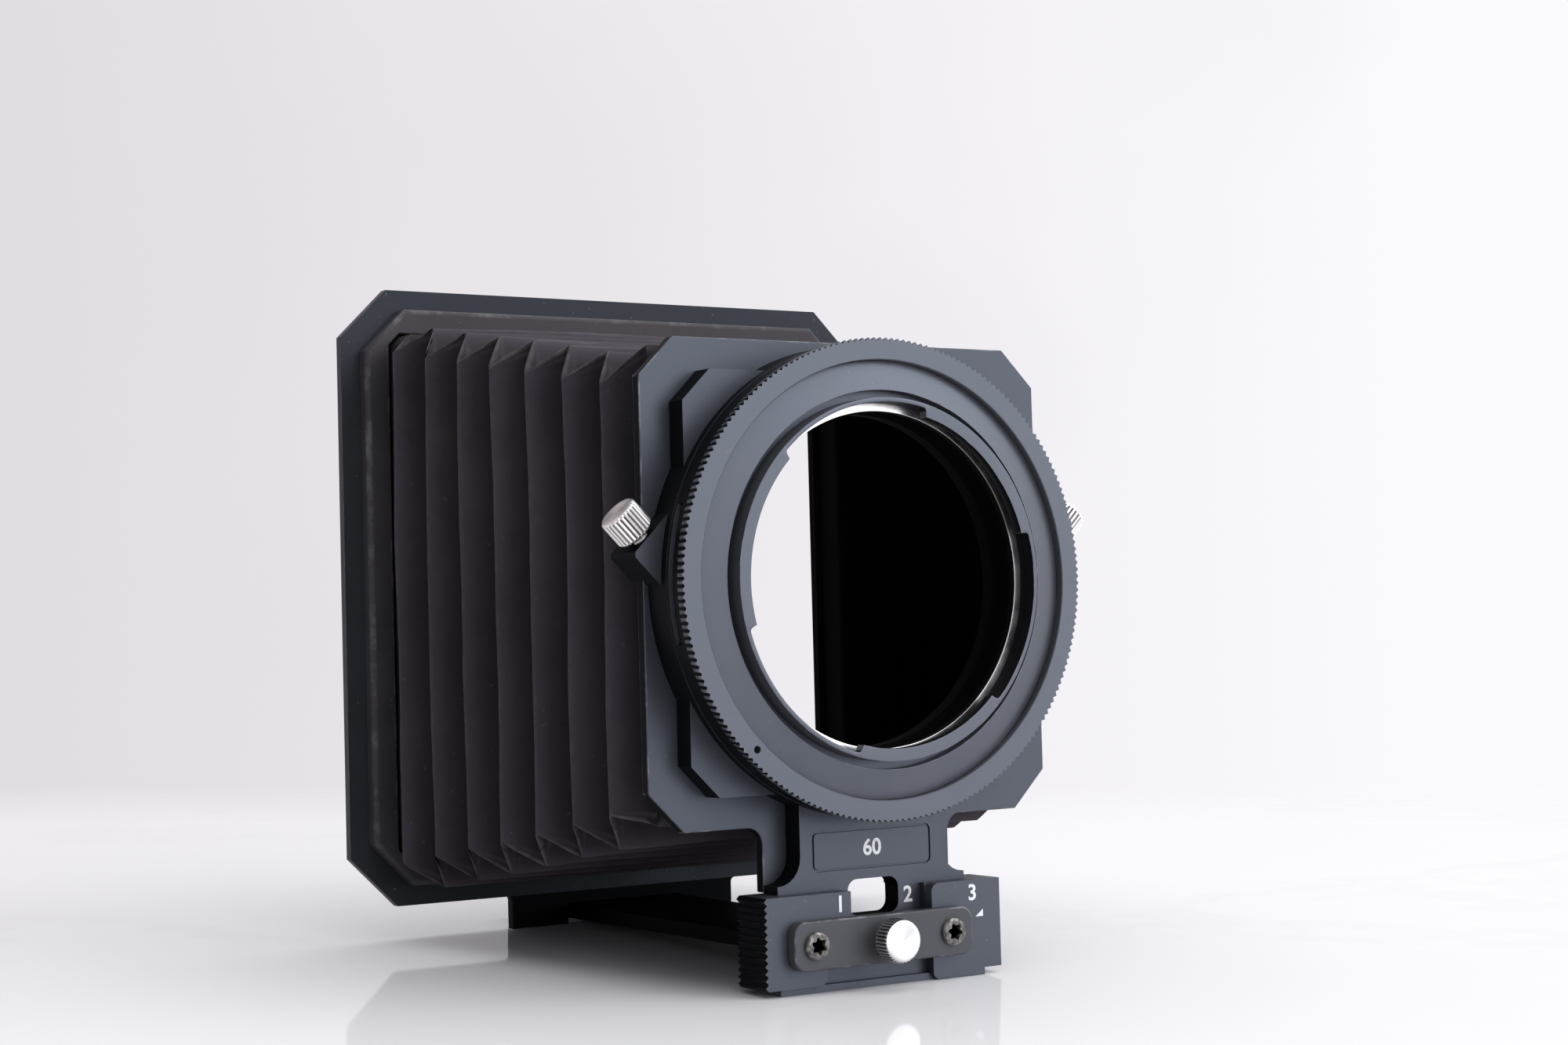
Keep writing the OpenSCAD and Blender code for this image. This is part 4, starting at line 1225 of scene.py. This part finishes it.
class HOOD_OT_front_standard(bpy.types.Operator):
    """Front frame, bellows retainer and carriage"""

    bl_idname = "hood.front_standard"
    bl_label = "Front standard"

    def execute(self, context):
        # the front frame takes the painted shade copy of the body finish
        made = eased_node(
            "front_frame", "front_standard", "body_black", 0.22, finish("shaded_frame_black"), DARK_COATS
        )
        darken(made, FRAME_HALF - 8.0)
        self.paint_tongue_shadow(made)
        self.retainer()
        eased_node("carriage", "front_standard", "body_black", 0.25)
        return {"FINISHED"}

    def paint_tongue_shadow(self, made):
        """Painted shadow on the tongue below the frame, which lies in the shadow of the bellows and
        rear plate.
        """
        bm = bmesh.new()
        bm.from_mesh(made.data)
        edge = -FRAME_HALF * MM
        bmesh.ops.bisect_plane(
            bm, geom=[*bm.verts, *bm.edges, *bm.faces], dist=1e-7,
            plane_co=(0, 0, edge), plane_no=(0, 0, 1),
        )
        for f in bm.faces:
            if f.calc_center_median().z < edge:
                # painted shadow: the near-black shade coat
                f.material_index = 2
        bm.to_mesh(made.data)
        bm.free()

    def retainer(self):
        """Raised frame with a round back, which holds the bellows' front end."""
        y0, half = low("front_retainer", "y"), high("front_retainer", "x")
        corner, opening, opening_corner, back = 8.6, half - 5.5, 2.0, 2.6
        bm = bmesh.new()
        outer = flat_line(bm, cut_square(half, corner), y0)
        inner = flat_line(bm, cut_square(opening, opening_corner), y0)
        slab(bm, outer + inner, FRAME_Y - y0)
        tidy(bm)
        rear = [
            e for e in bm.edges
            if all(v.co.y < y0 + 0.01 for v in e.verts) and len(e.link_faces) == 2
            and e.calc_face_angle(0.0) > 0.5
        ]
        round_edges(bm, rear, back, segments=8, rubbed=0.35)
        made = stand_in(
            bm, "front_retainer", "front_standard", "body_black", finish("bead_black"),
            coats=DARK_COATS,
        )
        darken(made, half - 4.5)


# Rear retainer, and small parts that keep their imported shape


class HOOD_OT_small_parts(bpy.types.Operator):
    """Rear retainer, and the finishes of the plugs, pad, shoe and small screws"""

    bl_idname = "hood.small_parts"
    bl_label = "Small parts"

    FINISHES = {
        "plug_brass": ("left_clamp_plug", "right_clamp_plug", "lock_shoe"),
        "felt": ("friction_pad",),
        "black_screw": (
            "seat_screws", "rear_retainer_screws", "keel_screws", "stop_screws", "front_screws",
            "carriage_screws",
        ),
    }

    def execute(self, context):
        lined = finish("bellows_lining")
        eased_node("rear_retainer", "rear_standard", "body_black", 0.15, lined)
        for name, nodes in self.FINISHES.items():
            for node in nodes:
                mesh = frame["nodes"][node].data
                mesh.materials.clear()
                mesh.materials.append(finish(name))
        return {"FINISHED"}


# Painted marks


class HOOD_OT_marks(bpy.types.Operator):
    """Painted setting figures and index on the base"""

    bl_idname = "hood.marks"
    bl_label = "Marks"

    def execute(self, context):
        pads, neck = BASE_REAR - 0.02, SEAT_Y - 0.02
        for word, x, y, z in (
            ("1", -9.6, pads, BASE_TOP - 2.2), ("2", 7.6, neck, BASE_TOP - 2.0),
            ("3", 19.4, pads, BASE_TOP - 2.4), ("60", 0.0, neck, PANEL_Z),
        ):
            self.figure(word, (x, y, z))
        bm = bmesh.new()
        left, right, foot, tip = 20.0, 21.7, -61.5, -60.2
        triangle = [(left, foot), (right, foot), (right, tip)]
        slab(bm, flat_line(bm, triangle, pads - 0.01), 0.02)
        outward(bm)
        piece(bm, "index_mark", "rear_standard", finish("mark_paint"), flats=False)
        return {"FINISHED"}

    def figure(self, word, place):
        """One painted figure, facing the rear."""
        curve = bpy.data.curves.new("figure", "FONT")
        curve.body = word
        curve.align_x = curve.align_y = "CENTER"
        curve.size = sizes().mark_h * 1.38
        curve.extrude = 0.01
        curve.offset = 0.09
        holder = shown("figure", curve)
        bpy.context.view_layer.update()
        shaped = holder.evaluated_get(bpy.context.evaluated_depsgraph_get()).to_mesh()
        bm = bmesh.new()
        bm.from_mesh(shaped)
        bpy.data.objects.remove(holder)
        bm.transform(Matrix.Translation(place) @ Matrix.Rotation(radians(90), 4, "X"))
        bmesh.ops.remove_doubles(bm, verts=bm.verts, dist=NEAR)
        piece(bm, f"figure_{word}", "rear_standard", finish("mark_paint"), flats=False)


# Stage

# Level direction in which the camera looks, the direction to its right, and its place
HEADING = radians(33.132)
AHEAD = Vector((sin(HEADING), cos(HEADING), 0))
ACROSS = Vector((AHEAD.y, -AHEAD.x, 0))
CAMERA = Vector((-268.038, -387.741, -7.542)) * MM
# Upward tilt, roll and focal length in pixels of an image that is 2000 wide
TILT, ROLL = radians(2.237), radians(-1.529)
FOCAL, IMAGE_WIDTH, SENSOR = 3327.17, 2000, 36.0
# Distance from the camera to the middle of the table's far edge, half the width of its fade,
# and how far the table reaches to each side
TABLE_END, FADE, TABLE_SIDE = 0.763, 0.05, 5
# Directions from which the studio lights the object: a wide light and a nearer window
WIDE_LIGHT = Vector((0.62, -0.62, 0.48))
NEAR_LIGHT = Vector((0.49, -0.87, 0.04))


class HOOD_OT_stage(bpy.types.Operator):
    """Table, backdrop, lamps and camera"""

    bl_idname = "hood.stage"
    bl_label = "Stage"

    def execute(self, context):
        self.table()
        self.world()
        self.lamps()
        self.camera()
        bpy.context.scene.view_settings.view_transform = "Standard"
        return {"FINISHED"}

    def table(self):
        """Pale table under the keel and the front tongue, fading out at its far edge."""
        keel = Vector((0, low("keel_plate", "y"), low("keel_plate", "z") - 0.02)) * MM
        tongue = Vector((0, FRAME_Y, low("front_frame", "z") - 0.02)) * MM
        rise = (tongue.z - keel.z) / (tongue.y - keel.y)
        far, side = TABLE_END + 0.06, TABLE_SIDE
        bm = bmesh.new()
        corners = []
        for ahead, across in ((far, -side), (far, side), (-side, side), (-side, -side)):
            p = CAMERA + AHEAD * ahead + ACROSS * across
            corners.append(bm.verts.new((p.x, p.y, keel.z + (p.y - keel.y) * rise)))
        bmesh.ops.contextual_create(bm, geom=corners)
        outward(bm)
        mesh = bpy.data.meshes.new("table")
        bm.to_mesh(mesh)
        bm.free()
        n = Nodes("pale_table")
        place = n.coords()
        cloud = n.noise(place, 6.0, 5.0)
        vein = n.math("ABSOLUTE", n.math("SUBTRACT", n.noise(place, 3.2, 6.0, 0.62), 0.5))
        # painted light: the table is lighter towards the right, where the light comes from
        right = n.span(n.along(place, ACROSS), -0.25, 0.42)
        colour = tuple(colours().table)
        tone = n.mix(right, scaled(colour, 0.955), colour)
        tone = n.mix(n.span(cloud, 0.45, 0.75, 0.0, 0.35), tone, scaled(colour, 0.93))
        tone = n.mix(n.span(vein, 0.0, 0.02, 0.3, 0.0), tone, scaled(colour, 0.88))
        mesh.materials.append(n.surface(Base_Color=tone, Roughness=0.06, Specular_IOR_Level=0.035))
        polished = n.output.inputs["Surface"].links[0].from_socket
        clear = n.add("BsdfTransparent", "BSDF")
        end = (CAMERA + AHEAD * TABLE_END).dot(AHEAD)
        n.blend(n.span(n.along(place, AHEAD), end - FADE, end + FADE), polished, clear)
        shown("table", mesh)

    def world(self):
        """Pale wall, lighter to the right, and a light that is strongest from the rear right."""
        world = bpy.data.worlds.new("studio")
        bpy.context.scene.world = world
        n = Nodes("studio", world)
        way = n.add("TexCoord", "Generated")
        # painted light: the wall is lighter towards the right, where the light comes from
        right = n.span(n.along(way, ACROSS), -0.3, 0.26)
        wall = n.mix(right, (0.755, 0.712, 0.755), (0.965, 0.96, 0.985))
        blotch = n.noise(way, 3.4, 4.0, 0.55)
        wall = n.mix(n.span(blotch, 0.5, 0.78, 0.0, 0.3), wall, (0.72, 0.71, 0.74))
        seen = n.add("Background", "Background", {"Color": wall})
        wide = n.span(n.along(way, WIDE_LIGHT), -0.5, 1.0, 0.06, 0.85)
        near = n.span(n.along(way, NEAR_LIGHT), 0.7, 0.98, 0.0, 2.1)
        inputs = {"Color": (0.94, 0.95, 1.0), "Strength": n.math("ADD", wide, near)}
        light = n.add("Background", "Background", inputs)
        rays = n.add("LightPath", "Is Camera Ray").node.outputs
        mirrored = n.times(rays["Is Glossy Ray"], n.span(n.along(way, AHEAD), -0.05, 0.25))
        straight = n.math("MAXIMUM", rays["Is Camera Ray"], rays["Is Transmission Ray"])
        n.blend(n.math("MAXIMUM", straight, mirrored), light, seen)

    def lamps(self):
        """Soft lamps; reflections leave out the front one, which would streak the table."""
        middle = Vector((0, 0.03, 0))
        for name, place, size, power in (
            ("window", (1.5, -1.3, 1.3), 1.5, 14.0),
            ("ceiling", (0.0, 0.0, 1.6), 2.2, 22.0),
            ("front_fill", (0.7, 1.6, 0.8), 1.4, 2.5),
        ):
            lamp = bpy.data.lights.new(name, "AREA")
            lamp.shape = "RECTANGLE"
            lamp.size = lamp.size_y = size
            lamp.energy = power
            made = shown(name, lamp)
            made.location = place
            made.rotation_euler = (middle - Vector(place)).to_track_quat("-Z", "Y").to_euler()
            made.visible_glossy = name != "front_fill"

    def camera(self):
        """Camera at the photograph's place, for an image of 2000 by 1333."""
        along = AHEAD * cos(TILT) + Vector((0, 0, sin(TILT)))
        right = along.cross(Vector((0, 0, 1))).normalized()
        up = right.cross(along)
        side = right * cos(ROLL) + up * sin(ROLL)
        top = up * cos(ROLL) - right * sin(ROLL)
        lens = bpy.data.cameras.new("camera")
        lens.sensor_width = SENSOR
        lens.lens = FOCAL / IMAGE_WIDTH * SENSOR
        lens.clip_start, lens.clip_end = 0.01, 60.0
        made = shown("camera", lens)
        turn = Matrix((side, top, -along)).transposed().to_4x4()
        made.matrix_world = Matrix.Translation(CAMERA) @ turn
        bpy.context.scene.camera = made


class HOOD_PT_panel(bpy.types.Panel):
    """Pieces of the lens hood"""

    bl_idname = "HOOD_PT_panel"
    bl_label = "Lens hood"
    bl_space_type = "VIEW_3D"
    bl_region_type = "UI"
    bl_category = "Lens hood"

    def draw(self, context):
        for group in (context.scene.hood_sizes, context.scene.hood_colours):
            for name in group.__annotations__:
                self.layout.prop(group, name)
        for step in STEPS:
            self.layout.operator(step.bl_idname)


STEPS = (
    HOOD_OT_lens_rings, HOOD_OT_rear_standard, HOOD_OT_bellows, HOOD_OT_thumb_screws,
    HOOD_OT_lock_screw, HOOD_OT_base, HOOD_OT_keeper, HOOD_OT_front_standard,
    HOOD_OT_small_parts, HOOD_OT_marks, HOOD_OT_stage,
)
CLASSES = (HoodSizes, HoodColours, *STEPS, HOOD_PT_panel)


def register():
    for made in CLASSES:
        bpy.utils.register_class(made)
    bpy.types.Scene.hood_sizes = bpy.props.PointerProperty(type=HoodSizes)
    bpy.types.Scene.hood_colours = bpy.props.PointerProperty(type=HoodColours)


def unregister():
    del bpy.types.Scene.hood_sizes
    del bpy.types.Scene.hood_colours
    for made in reversed(CLASSES):
        bpy.utils.unregister_class(made)


def main():
    register()
    bpy.ops.hood.lens_rings()
    bpy.ops.hood.rear_standard()
    bpy.ops.hood.bellows()
    bpy.ops.hood.thumb_screws()
    bpy.ops.hood.lock_screw()
    bpy.ops.hood.base()
    bpy.ops.hood.keeper()
    bpy.ops.hood.front_standard()
    bpy.ops.hood.small_parts()
    bpy.ops.hood.marks()
    bpy.ops.hood.stage()


if __name__ == "__main__":
    main()
